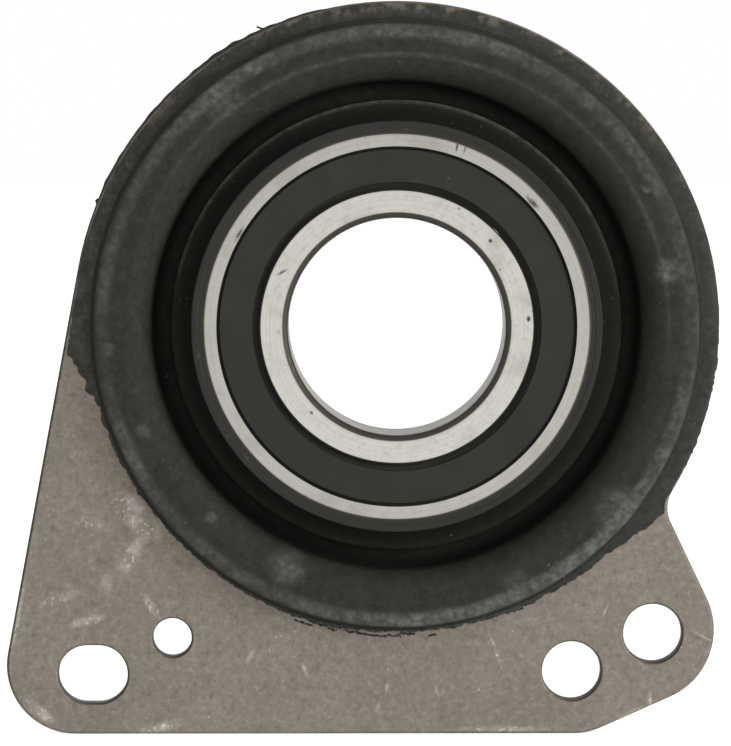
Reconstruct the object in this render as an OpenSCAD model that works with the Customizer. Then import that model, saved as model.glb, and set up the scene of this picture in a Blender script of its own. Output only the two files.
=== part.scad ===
// Driveshaft centre bearing: a sealed ball bearing in a rubber isolator bonded to a stamped plate.
// The shaft runs along Y. The plate stands upright in the XZ plane and its front looks along -Y.
// The origin is the middle of the shaft bore. Lengths are in millimetres.

/* [Bearing] */
// Bore of the inner ring, which the shaft is pressed into
bore_d = 30; // [29:0.5:31]
// Outside diameter of the outer ring
ring_od = 55; // [54:0.5:57]
// Width of both rings
bearing_w = 13; // [13:0.5:16]
// Diameter of a ball
ball_d = 7.144; // [6.8:0.001:7.4]
// Number of balls
ball_count = 11; // [9:1:11]
// Corner radius at the bore and at the outside diameter
ring_corner_r = 1; // [0.6:0.1:1.2]
// Height of a shoulder above the bottom of its raceway
shoulder_h = 1.42; // [1.2:0.02:1.6]
// Small corner radius between the inner ring's shoulders and its faces
land_corner_r = 0.3; // [0.1:0.05:0.5]
// Radius of a raceway as a share of the ball diameter
race_fit = 0.525; // [0.515:0.005:0.54]
// Running gap between a ball and the bottom of a raceway
ball_gap = 0.06; // [0.05:0.01:0.1]

/* [Cage] */
// Sheet thickness of each half of the cage
cage_t = 0.7; // [0.5:0.05:0.8]
// Radial width of the cage ribbon
cage_w = 3; // [2.6:0.1:3.4]
// Gap between a ball and its pocket
pocket_gap = 0.15; // [0.1:0.05:0.2]
// Shank diameter of a cage rivet
rivet_d = 1.2; // [0.8:0.1:1.4]
// Head diameter of a cage rivet
rivet_head_d = 2.1; // [1.8:0.1:2.3]
// Head height of a cage rivet
rivet_head_h = 0.5; // [0.3:0.05:0.6]
// Radius of the dome on a rivet's head
rivet_dome_r = 0.4; // [0.2:0.05:0.45]

/* [Seals] */
// How far a seal sits below the faces of the rings
seal_set = 0.45; // [0.3:0.05:0.6]
// Thickness of the flat part of a seal
seal_t = 1; // [0.8:0.05:1.1]
// Radial step from the outer ring's shoulder out to the seal recess
recess_step = 1.5; // [1.2:0.05:1.7]
// Depth of the seal recess below the ring face
recess_depth = 1.9; // [1.8:0.05:2.1]
// Depth of the snap groove behind the recess
snap_d = 0.35; // [0.2:0.05:0.5]
// Height of the snap groove
snap_h = 0.75; // [0.6:0.05:0.8]
// Width of the dark channel between the seal and the outer ring
seal_channel_w = 0.4; // [0.2:0.05:0.6]
// Width of the stepped-down lip beside the inner ring
lip_w = 0.95; // [0.8:0.05:1.2]
// Depth of that step below the front of the seal
lip_step = 0.45; // [0.3:0.05:0.5]
// Running gap under the lip
lip_gap = 0.05; // [0.04:0.01:0.1]
// Radius of the soft moulded edges of a seal
seal_edge_r = 0.12; // [0.05:0.01:0.15]

/* [Sleeve] */
// Wall of the steel sleeve round the bearing
sleeve_wall = 0.95; // [0.8:0.05:1.5]
// Corner radius on the ends of the sleeve
sleeve_corner_r = 0.2; // [0.1:0.05:0.3]

/* [Isolator] */
// Thickness of the rubber flange on the plate
flange_t = 0.8; // [0.6:0.1:1.2]
// Radial width of the flange on the plate
flange_w = 5.2; // [4.8:0.1:6]
// Distance of the outer face of the pad from the rim of the flange
pad_set = 1.25; // [1:0.05:1.6]
// Height of the pad above the plate
pad_h = 4.2; // [3.6:0.1:5]
// Radius of the outer edges of the pad and of the flange
pad_edge_r = 0.3; // [0.2:0.05:0.4]
// Radius of the shoulder that runs from the flat of the pad down into the groove
shoulder_r = 4.3; // [3.6:0.1:5]
// Radial wall of rubber inside the plate's opening
leg_t = 4; // [3.4:0.1:4.4]
// Depth of the groove below the front face of the plate
groove_depth = 3.8; // [3:0.1:4.2]
// Radial width of the ledge on the sleeve
ledge_w = 2.85; // [2.4:0.05:3.1]
// Depth of the ledge below the bearing's face, beside the sleeve
ledge_depth = 3.3; // [2.8:0.1:4]
// How far the ledge falls towards its rim
ledge_fall = 1.3; // [0.8:0.1:1.6]
// Length of sleeve left bare behind the rubber
bare_rear = 1; // [0.5:0.1:1.4]
// Radius of the rounded corners of the fold
fold_r = 0.9; // [0.5:0.1:1]
// Radius of the rim and the foot of the ledge
ledge_edge_r = 0.35; // [0.2:0.05:0.5]
// Radius of the rounded back of the fold
back_r = 1.8; // [1:0.1:2.5]
// Rubber flash left on the round rim of the plate: its thickness
flash_t = 0.3; // [0.2:0.05:0.5]
// Width of bare steel left outside the flash
flash_set = 0.5; // [0.4:0.05:0.8]
// Where the flash starts, in degrees from +X towards +Z
flash_from = -29; // [-30:1:-20]
// Where the flash ends, in degrees from +X towards +Z
flash_to = 192; // [160:1:196]

/* [Plate] */
// Radius of the round part of the plate
plate_r = 45; // [44.5:0.5:48]
// Thickness of the plate
plate_t = 3; // [2.5:0.1:3.5]
// Radial width of steel between the opening and the round edge
rim_w = 7; // [6.2:0.1:7.4]
// Rolled edge that stamping leaves round the front of the plate and of its holes
edge_r = 0.4; // [0.2:0.05:0.6]
// Height of the bottom edge
foot_z = -57.3; // [-60:0.1:-56]
// Corner radius at the foot's left end
heel_r = 9.6; // [8.5:0.1:10.5]
// X of the middle of that corner
heel_x = -44.85; // [-47:0.05:-43]
// Radius of the ear at the foot's right end
ear_r = 10.3; // [9:0.1:11]
// X of the middle of the ear
ear_x = 34.15; // [33:0.05:36]
// Z of the middle of the ear
ear_z = -42.75; // [-44:0.05:-42]
// Slope of the edge below the ear, in degrees
toe_slope = 24; // [20:0.5:28]
// Corner radius between the bottom edge and that slope
toe_r = 10; // [6:0.5:12]
// Lean of the edge above the ear, in degrees from upright
neck_lean = 25.5; // [22:0.5:28]
// Inner radius where that edge meets the round part
neck_r = 4.6; // [3.5:0.1:6]

/* [Holes] */
// Diameter of the two bolt holes
bolt_d = 9; // [8.4:0.1:9.4]
// X of the inner bolt hole
bolt_in_x = 24.5; // [23.5:0.05:25]
// Z of the inner bolt hole
bolt_in_z = -48.45; // [-49:0.05:-48]
// X of the outer bolt hole
bolt_out_x = 35.85; // [35.5:0.05:36.2]
// Z of the outer bolt hole
bolt_out_z = -43.2; // [-44:0.05:-42.5]
// Diameter of the locating hole
peg_d = 6.2; // [5.5:0.1:7]
// X of the locating hole
peg_x = -31.3; // [-32:0.05:-30.5]
// Z of the locating hole
peg_z = -43.75; // [-45:0.05:-43]
// Width of the slot
slot_w = 8.9; // [8.4:0.1:9.4]
// Length of the slot
slot_l = 10.5; // [10:0.1:12]
// X of the middle of the slot
slot_x = -42.4; // [-43:0.05:-42]
// Z of the middle of the slot
slot_z = -48.9; // [-49.5:0.05:-48.5]

/* [Fits] */
// Gap left between the bearing and the sleeve that it is pressed into
press_gap = 0.01; // [0.005:0.005:0.02]
// Thickness of the bonding layer between rubber and steel
bond_gap = 0.02; // [0.01:0.01:0.05]
// Gap round a seal in its recess and round a rivet's shank
snug_gap = 0.04; // [0.02:0.01:0.06]

/* [Hidden] */
$fn = 96;
// Straight steps in a rounded corner of a turned section
arc_steps = 6;
// Corner radius up to which that many steps are enough
arc_reach = 2;
// How far a cut runs past the face that it breaks
overshoot = 0.1;
// How far straight sides lie inside the rounds that they run into
tuck = 0.002;

function ball_name(k) = str("ball_", k < 10 ? "0" : "", k);

steel = [0.78, 0.75, 0.69];
bare_plate = [0.47, 0.44, 0.40];
coated_steel = [0.24, 0.24, 0.22];
rubber = [0.17, 0.18, 0.16];
seal_rubber = [0.27, 0.27, 0.26];
cage_steel = [0.62, 0.60, 0.56];

// Bearing
ball_r = ball_d / 2;
half_w = bearing_w / 2;
bore_r = bore_d / 2;
ring_or = ring_od / 2;
pitch_r = (bore_r + ring_or) / 2;
race_r = race_fit * ball_d;
inner_race_r = pitch_r - ball_r - ball_gap;
outer_race_r = pitch_r + ball_r + ball_gap;
inner_shoulder_r = inner_race_r + shoulder_h;
outer_shoulder_r = outer_race_r - shoulder_h;
recess_r = outer_shoulder_r + recess_step;
recess_floor = half_w - recess_depth;
pocket_r = ball_r + pocket_gap;

// Sleeve and isolator
sleeve_ir = ring_or + press_gap;
sleeve_or = sleeve_ir + sleeve_wall;
plate_front = plate_t / 2;
opening_r = plate_r - rim_w;
rubber_ir = sleeve_or + bond_gap;
rubber_or = opening_r - bond_gap;
flange_r = opening_r + flange_w;
pad_r = flange_r - pad_set;
groove_or = opening_r - leg_t;
ledge_r = rubber_ir + ledge_w;
ledge_top = half_w - ledge_depth;
groove_floor = plate_front - groove_depth;
rubber_rear = bare_rear - half_w;

// Outline of the plate: centres of its arcs and the directions that its straight edges face
heel = [heel_x, foot_z + heel_r];
ear = [ear_x, ear_z];
back_facing = 360 + atan2(heel.y, heel.x) - acos((plate_r - heel_r) / norm(heel));
foot_facing = 270;
toe_facing = 270 + toe_slope;
neck_facing = neck_lean;
toe_reach = ear * facing(toe_facing) + ear_r - toe_r;
toe = [
    (toe_reach - facing(toe_facing).y * (foot_z + toe_r)) / facing(toe_facing).x,
    foot_z + toe_r
];
neck_reach = ear * facing(neck_facing) + ear_r + neck_r;
neck_turn = neck_facing - acos(neck_reach / (plate_r + neck_r));
neck = (plate_r + neck_r) * facing(neck_turn);

// Unit vector at an angle in degrees
function facing(a) = [cos(a), sin(a)];

// The first two numbers of a corner
function place(c) = [c.x, c.y];

// Points of the arc that rounds corner q, which lies between p and s
function corner_arc(p, q, s, r) =
    let (
        u = (p - q) / norm(p - q),
        v = (s - q) / norm(s - q),
        half = acos(u * v) / 2,
        middle = q + (u + v) / norm(u + v) * r / sin(half),
        from = q + u * r / tan(half) - middle,
        to = q + v * r / tan(half) - middle,
        start = atan2(from.y, from.x),
        turn = (atan2(to.y, to.x) - start + 540) % 360 - 180,
        steps = arc_steps * ceil(r / arc_reach)
    )
    [for (i = [0 : steps]) middle + r * facing(start + turn * i / steps)];

// A closed outline from corners written as [x, y, corner radius]
function rounded(corners) =
    let (n = len(corners))
    [
        for (i = [0 : n - 1])
            let (p = corners[(i + n - 1) % n], q = corners[i], s = corners[(i + 1) % n])
            each q[2] > 0 ? corner_arc(place(p), place(q), place(s), q[2]) : [place(q)]
    ];

// Turns what is drawn round +Z to lie along the shaft, with +Z towards the front
module along_shaft() {
    rotate([90, 0, 0])
        children();
}

// Copies its children to every ball, or half a step on, to every rivet
module round_cage(step = 0) {
    for (k = [1 : ball_count])
        rotate([0, 0, (k - 1 + step) * 360 / ball_count])
            translate([pitch_r, 0, 0])
                children();
}

// A turned ring with the given half section
module turned(corners) {
    rotate_extrude()
        polygon(rounded(corners));
}

// Section of the cut that breaks a front edge, for an edge at the origin that faces +X
module edge_section() {
    reach = edge_r + overshoot;
    polygon([[-reach, overshoot], [overshoot, -reach], [overshoot, overshoot]]);
}

// Breaks the front edge of a hole or of part of one
module break_hollow(centre, r, from = 0, to = 360) {
    translate([centre.x, centre.y, plate_front])
        rotate([0, 0, from])
            rotate_extrude(angle = to - from)
                translate([r, 0])
                    mirror([1, 0])
                        edge_section();
}

// Breaks the front edge of a straight side that runs from p to q with the steel on its left
module break_line(p, q, before = 0, after = 0) {
    run = q - p;
    end = q + run / norm(run) * after;
    translate([end.x, end.y, plate_front])
        rotate([0, 0, atan2(run.y, run.x)])
            rotate([90, 0, -90])
                linear_extrude(norm(run) + before + after)
                    edge_section();
}

// A round of the plate's outline
module plate_round(centre, r) {
    translate([centre.x, centre.y, 0])
        rotate_extrude()
            polygon([
                [0, -plate_front],
                [r, -plate_front],
                [r, plate_front - edge_r],
                [r - edge_r, plate_front],
                [0, plate_front]
            ]);
}

// A point just inside a round, at the angle where a straight side runs into it
function side_end(centre, r, angle) = centre + (r - tuck) * facing(angle);

// The web that joins the rounds. It ends at their middles, so each side stops where its round begins
module plate_web() {
    back = [side_end([0, 0], plate_r, back_facing), side_end(heel, heel_r, back_facing)];
    foot = [side_end(heel, heel_r, foot_facing), side_end(toe, toe_r, foot_facing)];
    slope = [side_end(toe, toe_r, toe_facing), side_end(ear, ear_r, toe_facing)];
    lean = [side_end(ear, ear_r, neck_facing), side_end(neck, -neck_r, neck_facing)];
    difference() {
        translate([0, 0, -plate_front])
            linear_extrude(plate_t)
                polygon(concat(
                    [[0, 0]], back, [heel], foot, [toe], slope, [ear], lean,
                    [side_end([0, 0], plate_r, neck_turn)]
                ));
        for (side = [back, foot, slope])
            break_line(side[0], side[1], before = edge_r, after = edge_r);
        break_line(lean[0], lean[1], before = edge_r);
    }
}

// The plate without its opening and holes
module plate_blank() {
    difference() {
        union() {
            plate_round([0, 0], plate_r);
            plate_round(heel, heel_r);
            plate_round(toe, toe_r);
            plate_round(ear, ear_r);
            plate_web();
        }
        plate_hole(neck.x, neck.y, 2 * (neck_r + 2 * tuck));
    }
}

// A round hole through the plate with a rolled front edge
module plate_hole(x, z, d) {
    translate([x, z, -plate_t])
        cylinder(d = d, h = 2 * plate_t);
    break_hollow([x, z], d / 2);
}

// The slot: two half rounds joined by straight sides, with a rolled front edge
module plate_slot() {
    half_run = (slot_l - slot_w) / 2;
    end_l = [slot_x - half_run, slot_z];
    end_r = [slot_x + half_run, slot_z];
    up = [0, slot_w / 2];
    for (end = [end_l, end_r])
        translate([end.x, end.y, -plate_t])
            cylinder(d = slot_w, h = 2 * plate_t);
    translate([end_l.x, slot_z - slot_w / 2, -plate_t])
        cube([2 * half_run, slot_w, 2 * plate_t]);
    break_hollow(end_l, slot_w / 2, 90, 270);
    break_hollow(end_r, slot_w / 2, -90, 90);
    break_line(end_l + up, end_r + up);
    break_line(end_r - up, end_l - up);
}

module mounting_plate() {
    color(bare_plate)
        along_shaft()
            difference() {
                plate_blank();
                translate([0, 0, -plate_t])
                    cylinder(r = opening_r, h = 2 * plate_t);
                plate_hole(bolt_in_x, bolt_in_z, bolt_d);
                plate_hole(bolt_out_x, bolt_out_z, bolt_d);
                plate_hole(peg_x, peg_z, peg_d);
                plate_slot();
            }
}

// Half section of the isolator: back, flange on the plate, pad, shoulder, groove and ledge
function isolator_section() = [
    [rubber_ir, rubber_rear, 0],
    [groove_or - fold_r, rubber_rear, back_r],
    [rubber_or, -plate_front, 0],
    [rubber_or, plate_front, 0],
    [flange_r, plate_front, 0],
    [flange_r, plate_front + flange_t, pad_edge_r],
    [pad_r, plate_front + flange_t, pad_edge_r],
    [pad_r, plate_front + pad_h, pad_edge_r],
    [groove_or, plate_front + pad_h, shoulder_r],
    [groove_or, groove_floor, fold_r],
    [ledge_r, groove_floor, ledge_edge_r],
    [ledge_r, ledge_top - ledge_fall, ledge_edge_r],
    [rubber_ir, ledge_top, 0]
];

// Thin flash that the mould left over the round rim of the plate
module rubber_flash() {
    rotate([0, 0, flash_from])
        rotate_extrude(angle = flash_to - flash_from)
            translate([opening_r, plate_front])
                square([rim_w - flash_set, flash_t]);
}

module rubber_isolator() {
    color(rubber)
        along_shaft() {
            turned(isolator_section());
            rubber_flash();
        }
}

module bearing_sleeve() {
    color(coated_steel)
        along_shaft()
            turned([
                [sleeve_ir, -half_w, sleeve_corner_r],
                [sleeve_or, -half_w, sleeve_corner_r],
                [sleeve_or, half_w, sleeve_corner_r],
                [sleeve_ir, half_w, sleeve_corner_r]
            ]);
}

// One side of the recess that holds a seal, from the ring's face inwards, for side = 1 or -1
function seal_recess(side) = [
    [recess_r, side * half_w, 0],
    [recess_r, side * (recess_floor + snap_h), 0],
    [recess_r + snap_d, side * (recess_floor + snap_h - snap_d / 2), 0],
    [recess_r + snap_d, side * recess_floor, 0],
    [outer_shoulder_r, side * recess_floor, 0]
];

function flipped(list) = [for (i = [len(list) - 1 : -1 : 0]) list[i]];

module outer_ring() {
    color(steel)
        along_shaft()
            rotate_extrude()
                difference() {
                    polygon(rounded(concat(
                        [[ring_or, -half_w, ring_corner_r], [ring_or, half_w, ring_corner_r]],
                        seal_recess(1),
                        flipped(seal_recess(-1))
                    )));
                    translate([outer_race_r - race_r, 0])
                        circle(race_r);
                }
}

module inner_ring() {
    color(steel)
        along_shaft()
            rotate_extrude()
                difference() {
                    polygon(rounded([
                        [bore_r, -half_w, ring_corner_r],
                        [inner_shoulder_r, -half_w, land_corner_r],
                        [inner_shoulder_r, half_w, land_corner_r],
                        [bore_r, half_w, ring_corner_r]
                    ]));
                    translate([inner_race_r + race_r, 0])
                        circle(race_r);
                }
}

// A lip seal for the front: snap bead in the recess, flat face, stepped lip beside the inner ring
module seal() {
    face = half_w - seal_set;
    back = face - seal_t;
    bead_or = recess_r + snap_d - snug_gap;
    bead_floor = recess_floor + snug_gap;
    bead_top = recess_floor + snap_h - snap_d / 2 - snug_gap;
    face_or = recess_r - seal_channel_w;
    lip_r = inner_shoulder_r + lip_gap;
    face_ir = inner_shoulder_r + lip_w;
    turned([
        [bead_or, bead_floor, seal_edge_r],
        [bead_or, bead_top, seal_edge_r],
        [face_or, bead_top, seal_edge_r],
        [face_or, face, seal_edge_r],
        [face_ir, face, seal_edge_r],
        [face_ir, face - lip_step, seal_edge_r],
        [lip_r, back, seal_edge_r / 2],
        [face_ir, back - seal_edge_r, 0],
        [face_or - seal_t, back, 0],
        [face_or - seal_channel_w, bead_floor, 0]
    ]);
}

module front_seal() {
    color(seal_rubber)
        along_shaft()
            seal();
}

module rear_seal() {
    color(seal_rubber)
        along_shaft()
            mirror([0, 0, 1])
                seal();
}

// Front half of the cage: a flat ribbon that is pressed into a pocket over every ball
module cage_half() {
    difference() {
        intersection() {
            rotate_extrude()
                translate([pitch_r - cage_w / 2, 0])
                    square([cage_w, pocket_r + cage_t]);
            union() {
                cylinder(r = pitch_r + cage_w, h = cage_t);
                round_cage()
                    sphere(pocket_r + cage_t);
            }
        }
        round_cage()
            sphere(pocket_r);
        round_cage(0.5)
            cylinder(d = rivet_d + 2 * snug_gap, h = 4 * cage_t, center = true);
    }
}

module cage_front() {
    color(cage_steel)
        along_shaft()
            cage_half();
}

module cage_rear() {
    color(cage_steel)
        along_shaft()
            mirror([0, 0, 1])
                cage_half();
}

module cage_rivets() {
    head_r = rivet_head_d / 2;
    head_top = cage_t + rivet_head_h;
    dome_r = min(rivet_dome_r, rivet_head_h);
    color(cage_steel)
        along_shaft()
            round_cage(0.5)
                rotate_extrude()
                    polygon(rounded([
                        [0, -head_top, 0],
                        [head_r, -head_top, dome_r],
                        [head_r, -cage_t, 0],
                        [rivet_d / 2, -cage_t, 0],
                        [rivet_d / 2, cage_t, 0],
                        [head_r, cage_t, 0],
                        [head_r, head_top, dome_r],
                        [0, head_top, 0]
                    ]));
}

module ball(k) {
    color(steel)
        along_shaft()
            rotate([0, 0, (k - 1) * 360 / ball_count])
                translate([pitch_r, 0, 0])
                    sphere(ball_r);
}

mounting_plate();
rubber_isolator();
bearing_sleeve();
outer_ring();
inner_ring();
front_seal();
rear_seal();
cage_front();
cage_rear();
cage_rivets();
for (k = [1 : ball_count])
    ball(k);
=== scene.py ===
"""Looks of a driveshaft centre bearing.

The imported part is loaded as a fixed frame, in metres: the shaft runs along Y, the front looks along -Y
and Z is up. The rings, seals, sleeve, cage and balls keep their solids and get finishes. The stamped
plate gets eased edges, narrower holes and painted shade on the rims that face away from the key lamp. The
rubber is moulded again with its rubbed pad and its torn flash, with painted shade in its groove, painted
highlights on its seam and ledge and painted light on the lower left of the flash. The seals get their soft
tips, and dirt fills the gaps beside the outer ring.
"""

import logging
import math
from dataclasses import dataclass
from enum import Enum
from functools import cache
from random import Random

import bmesh
import bpy
from mathutils import Matrix, Vector, noise


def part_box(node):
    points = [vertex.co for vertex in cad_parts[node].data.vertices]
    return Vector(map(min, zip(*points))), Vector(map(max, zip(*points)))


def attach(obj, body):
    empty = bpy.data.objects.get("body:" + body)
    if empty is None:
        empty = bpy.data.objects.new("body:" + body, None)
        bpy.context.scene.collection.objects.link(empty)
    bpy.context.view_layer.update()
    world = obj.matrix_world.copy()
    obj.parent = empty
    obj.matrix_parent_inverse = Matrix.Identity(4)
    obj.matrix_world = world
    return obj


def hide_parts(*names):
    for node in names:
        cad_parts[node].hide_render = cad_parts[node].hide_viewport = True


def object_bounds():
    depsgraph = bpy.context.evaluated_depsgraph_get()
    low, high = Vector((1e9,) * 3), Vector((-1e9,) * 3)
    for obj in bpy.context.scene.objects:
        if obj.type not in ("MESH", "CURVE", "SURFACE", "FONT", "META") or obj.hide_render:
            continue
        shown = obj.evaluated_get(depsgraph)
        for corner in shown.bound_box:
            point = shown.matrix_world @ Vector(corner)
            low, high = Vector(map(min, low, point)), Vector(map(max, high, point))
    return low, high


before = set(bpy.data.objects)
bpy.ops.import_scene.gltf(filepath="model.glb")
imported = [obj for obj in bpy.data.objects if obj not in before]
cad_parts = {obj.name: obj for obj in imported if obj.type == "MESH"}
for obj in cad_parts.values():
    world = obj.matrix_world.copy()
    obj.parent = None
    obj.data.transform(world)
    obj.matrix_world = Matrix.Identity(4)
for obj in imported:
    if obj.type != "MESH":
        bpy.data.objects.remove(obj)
CAD_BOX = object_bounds()

LOG = logging.getLogger("centre_bearing")
MM = 0.001
FULL_TURN = 2 * math.pi
SHAFT = Vector((0.0, 1.0, 0.0))
WELD = 0.001 * MM
OPENING_R = 38 * MM
PLATE_RIM_R = 45 * MM
THROUGH_SHEET = (1.0, 1000.0, 1.0)

Colour = tuple[float, float, float]
Place = tuple[float, float, float]
Socket = bpy.types.NodeSocket


class Slot(Enum):
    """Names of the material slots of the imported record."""

    PLATE = "plate_steel"
    RUBBER = "isolator_rubber"
    SLEEVE = "sleeve_coating"
    SEAL = "seal_rubber"


class Body(Enum):
    """Bodies of the frame that new pieces ride on."""

    HOUSING = "housing"


class Paint(Enum):
    """Point attributes that the finishes read."""

    # Chalk on the rubber, with painted highlights and painted light added to it
    CHALK_AND_LIGHT = "chalk_and_light"
    THIN = "thin"
    # Painted shade on the plate's rims that face away from the key lamp
    PAINTED_SHADE = "painted_shade"


def screen(red: int, green: int, blue: int) -> Colour:
    """Turns an 8-bit screen colour into a linear one.

    Args:
        red: Red value, 0 to 255.
        green: Green value, 0 to 255.
        blue: Blue value, 0 to 255.

    Returns:
        The linear colour.
    """
    shares = [value / 255 for value in (red, green, blue)]
    return tuple(s / 12.92 if s <= 0.04045 else ((s + 0.055) / 1.055) ** 2.4 for s in shares)


def smooth_step(low: float, high: float, value: float) -> float:
    """Rises from 0 at low to 1 at high with soft ends.

    Args:
        low: Where the rise starts.
        high: Where the rise ends. It may lie below low, for a fall.
        value: Where to read the curve.

    Returns:
        A share from 0 to 1.
    """
    share = min(1.0, max(0.0, (value - low) / (high - low)))
    return share * share * (3 - 2 * share)


def bump_curve(middle: float, reach: float, value: float) -> float:
    """A soft bump of height 1 at middle that ends at reach on both sides.

    Args:
        middle: Where the bump stands.
        reach: Half of its width.
        value: Where to read the curve.

    Returns:
        A share from 0 to 1.
    """
    return smooth_step(reach, 0.0, abs(value - middle))


def turned_noise(angle: float, waves: float, seed: float) -> float:
    """Noise round the shaft that closes on itself.

    Args:
        angle: Angle round the shaft, in radians.
        waves: Radius of the circle walked through the noise. More is finer.
        seed: Where the circle lies in the noise.

    Returns:
        A value from about -1 to 1.
    """
    return noise.noise(Vector((waves * math.cos(angle), waves * math.sin(angle), seed)))


def round_shaft(point: Vector) -> tuple[float, float, float]:
    """Reads a point as distance from the shaft, angle from +X towards +Z, and reach to the front.

    Args:
        point: A point of the frame.

    Returns:
        Radius in metres, angle in radians from 0 to a full turn, and distance towards the front.
    """
    return math.hypot(point.x, point.z), math.atan2(point.z, point.x) % FULL_TURN, -point.y


def at_shaft(radius: float, angle: float, front: float) -> Vector:
    """The point at a radius, an angle and a reach to the front.

    Args:
        radius: Distance from the shaft.
        angle: Angle from +X towards +Z, in radians.
        front: Distance towards the front.

    Returns:
        The point in the frame.
    """
    return Vector((radius * math.cos(angle), -front, radius * math.sin(angle)))


@cache
def front_of(node: str) -> float:
    """How far a node of the frame reaches to the front."""
    return -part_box(node)[0].y


@cache
def rear_of(node: str) -> float:
    """Where a node of the frame ends at the rear, as a reach to the front."""
    return -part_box(node)[1].y


def add_piece(
    mesh: bmesh.types.BMesh, name: str, material: bpy.types.Material, crease: float
) -> bpy.types.Object:
    """Makes an object of a finished mesh and links it to the scene.

    Args:
        mesh: The mesh, which is freed.
        name: Name of the piece.
        material: Its finish.
        crease: Angle in degrees from which an edge is shaded sharp.

    Returns:
        The new object, at the origin.
    """
    data = bpy.data.meshes.new(name)
    mesh.to_mesh(data)
    mesh.free()
    data.materials.append(material)
    data.shade_smooth()
    data.set_sharp_from_angle(angle=math.radians(crease))
    piece = bpy.data.objects.new(name, data)
    bpy.context.scene.collection.objects.link(piece)
    return piece


def paint(piece: bpy.types.Object, attribute: Paint, values: list[float]) -> None:
    """Writes a point attribute that a finish reads.

    Args:
        piece: The painted object.
        attribute: Which attribute to write.
        values: One share for each vertex.
    """
    layer = piece.data.attributes.new(attribute.value, "FLOAT", "POINT")
    layer.data.foreach_set("value", values)


def join_ring(mesh: bmesh.types.BMesh, points: list[bmesh.types.BMVert]) -> list[bmesh.types.BMEdge]:
    """Joins points to a closed wire.

    Args:
        mesh: Mesh of the points.
        points: The points in order.

    Returns:
        The edges between them.
    """
    return [mesh.edges.new(pair) for pair in zip(points, points[1:] + points[:1])]


def close_ends(mesh: bmesh.types.BMesh) -> None:
    """Closes the open ends of a swept mesh and turns all its faces outwards.

    Args:
        mesh: The swept mesh.
    """
    rims = [edge for edge in mesh.edges if edge.is_boundary]
    bmesh.ops.holes_fill(mesh, edges=rims, sides=0)
    bmesh.ops.recalc_face_normals(mesh, faces=mesh.faces)


def turn_full(mesh: bmesh.types.BMesh, steps: int) -> None:
    """Turns closed wires once round the shaft, which makes a closed shell of each.

    Args:
        mesh: Mesh that holds the wires.
        steps: Steps in the full turn.
    """
    bmesh.ops.spin(
        mesh, geom=mesh.verts[:] + mesh.edges[:], cent=(0.0, 0.0, 0.0), axis=SHAFT,
        angle=FULL_TURN, steps=steps, use_merge=True,
    )
    bmesh.ops.remove_doubles(mesh, verts=mesh.verts, dist=WELD)
    bmesh.ops.recalc_face_normals(mesh, faces=mesh.faces)


@dataclass(frozen=True)
class Mark:
    """A dusty mark on the plate or a dark one on a ring, in metres and degrees."""

    x: float
    z: float
    length: float
    width: float
    turn: float
    strength: float


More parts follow.
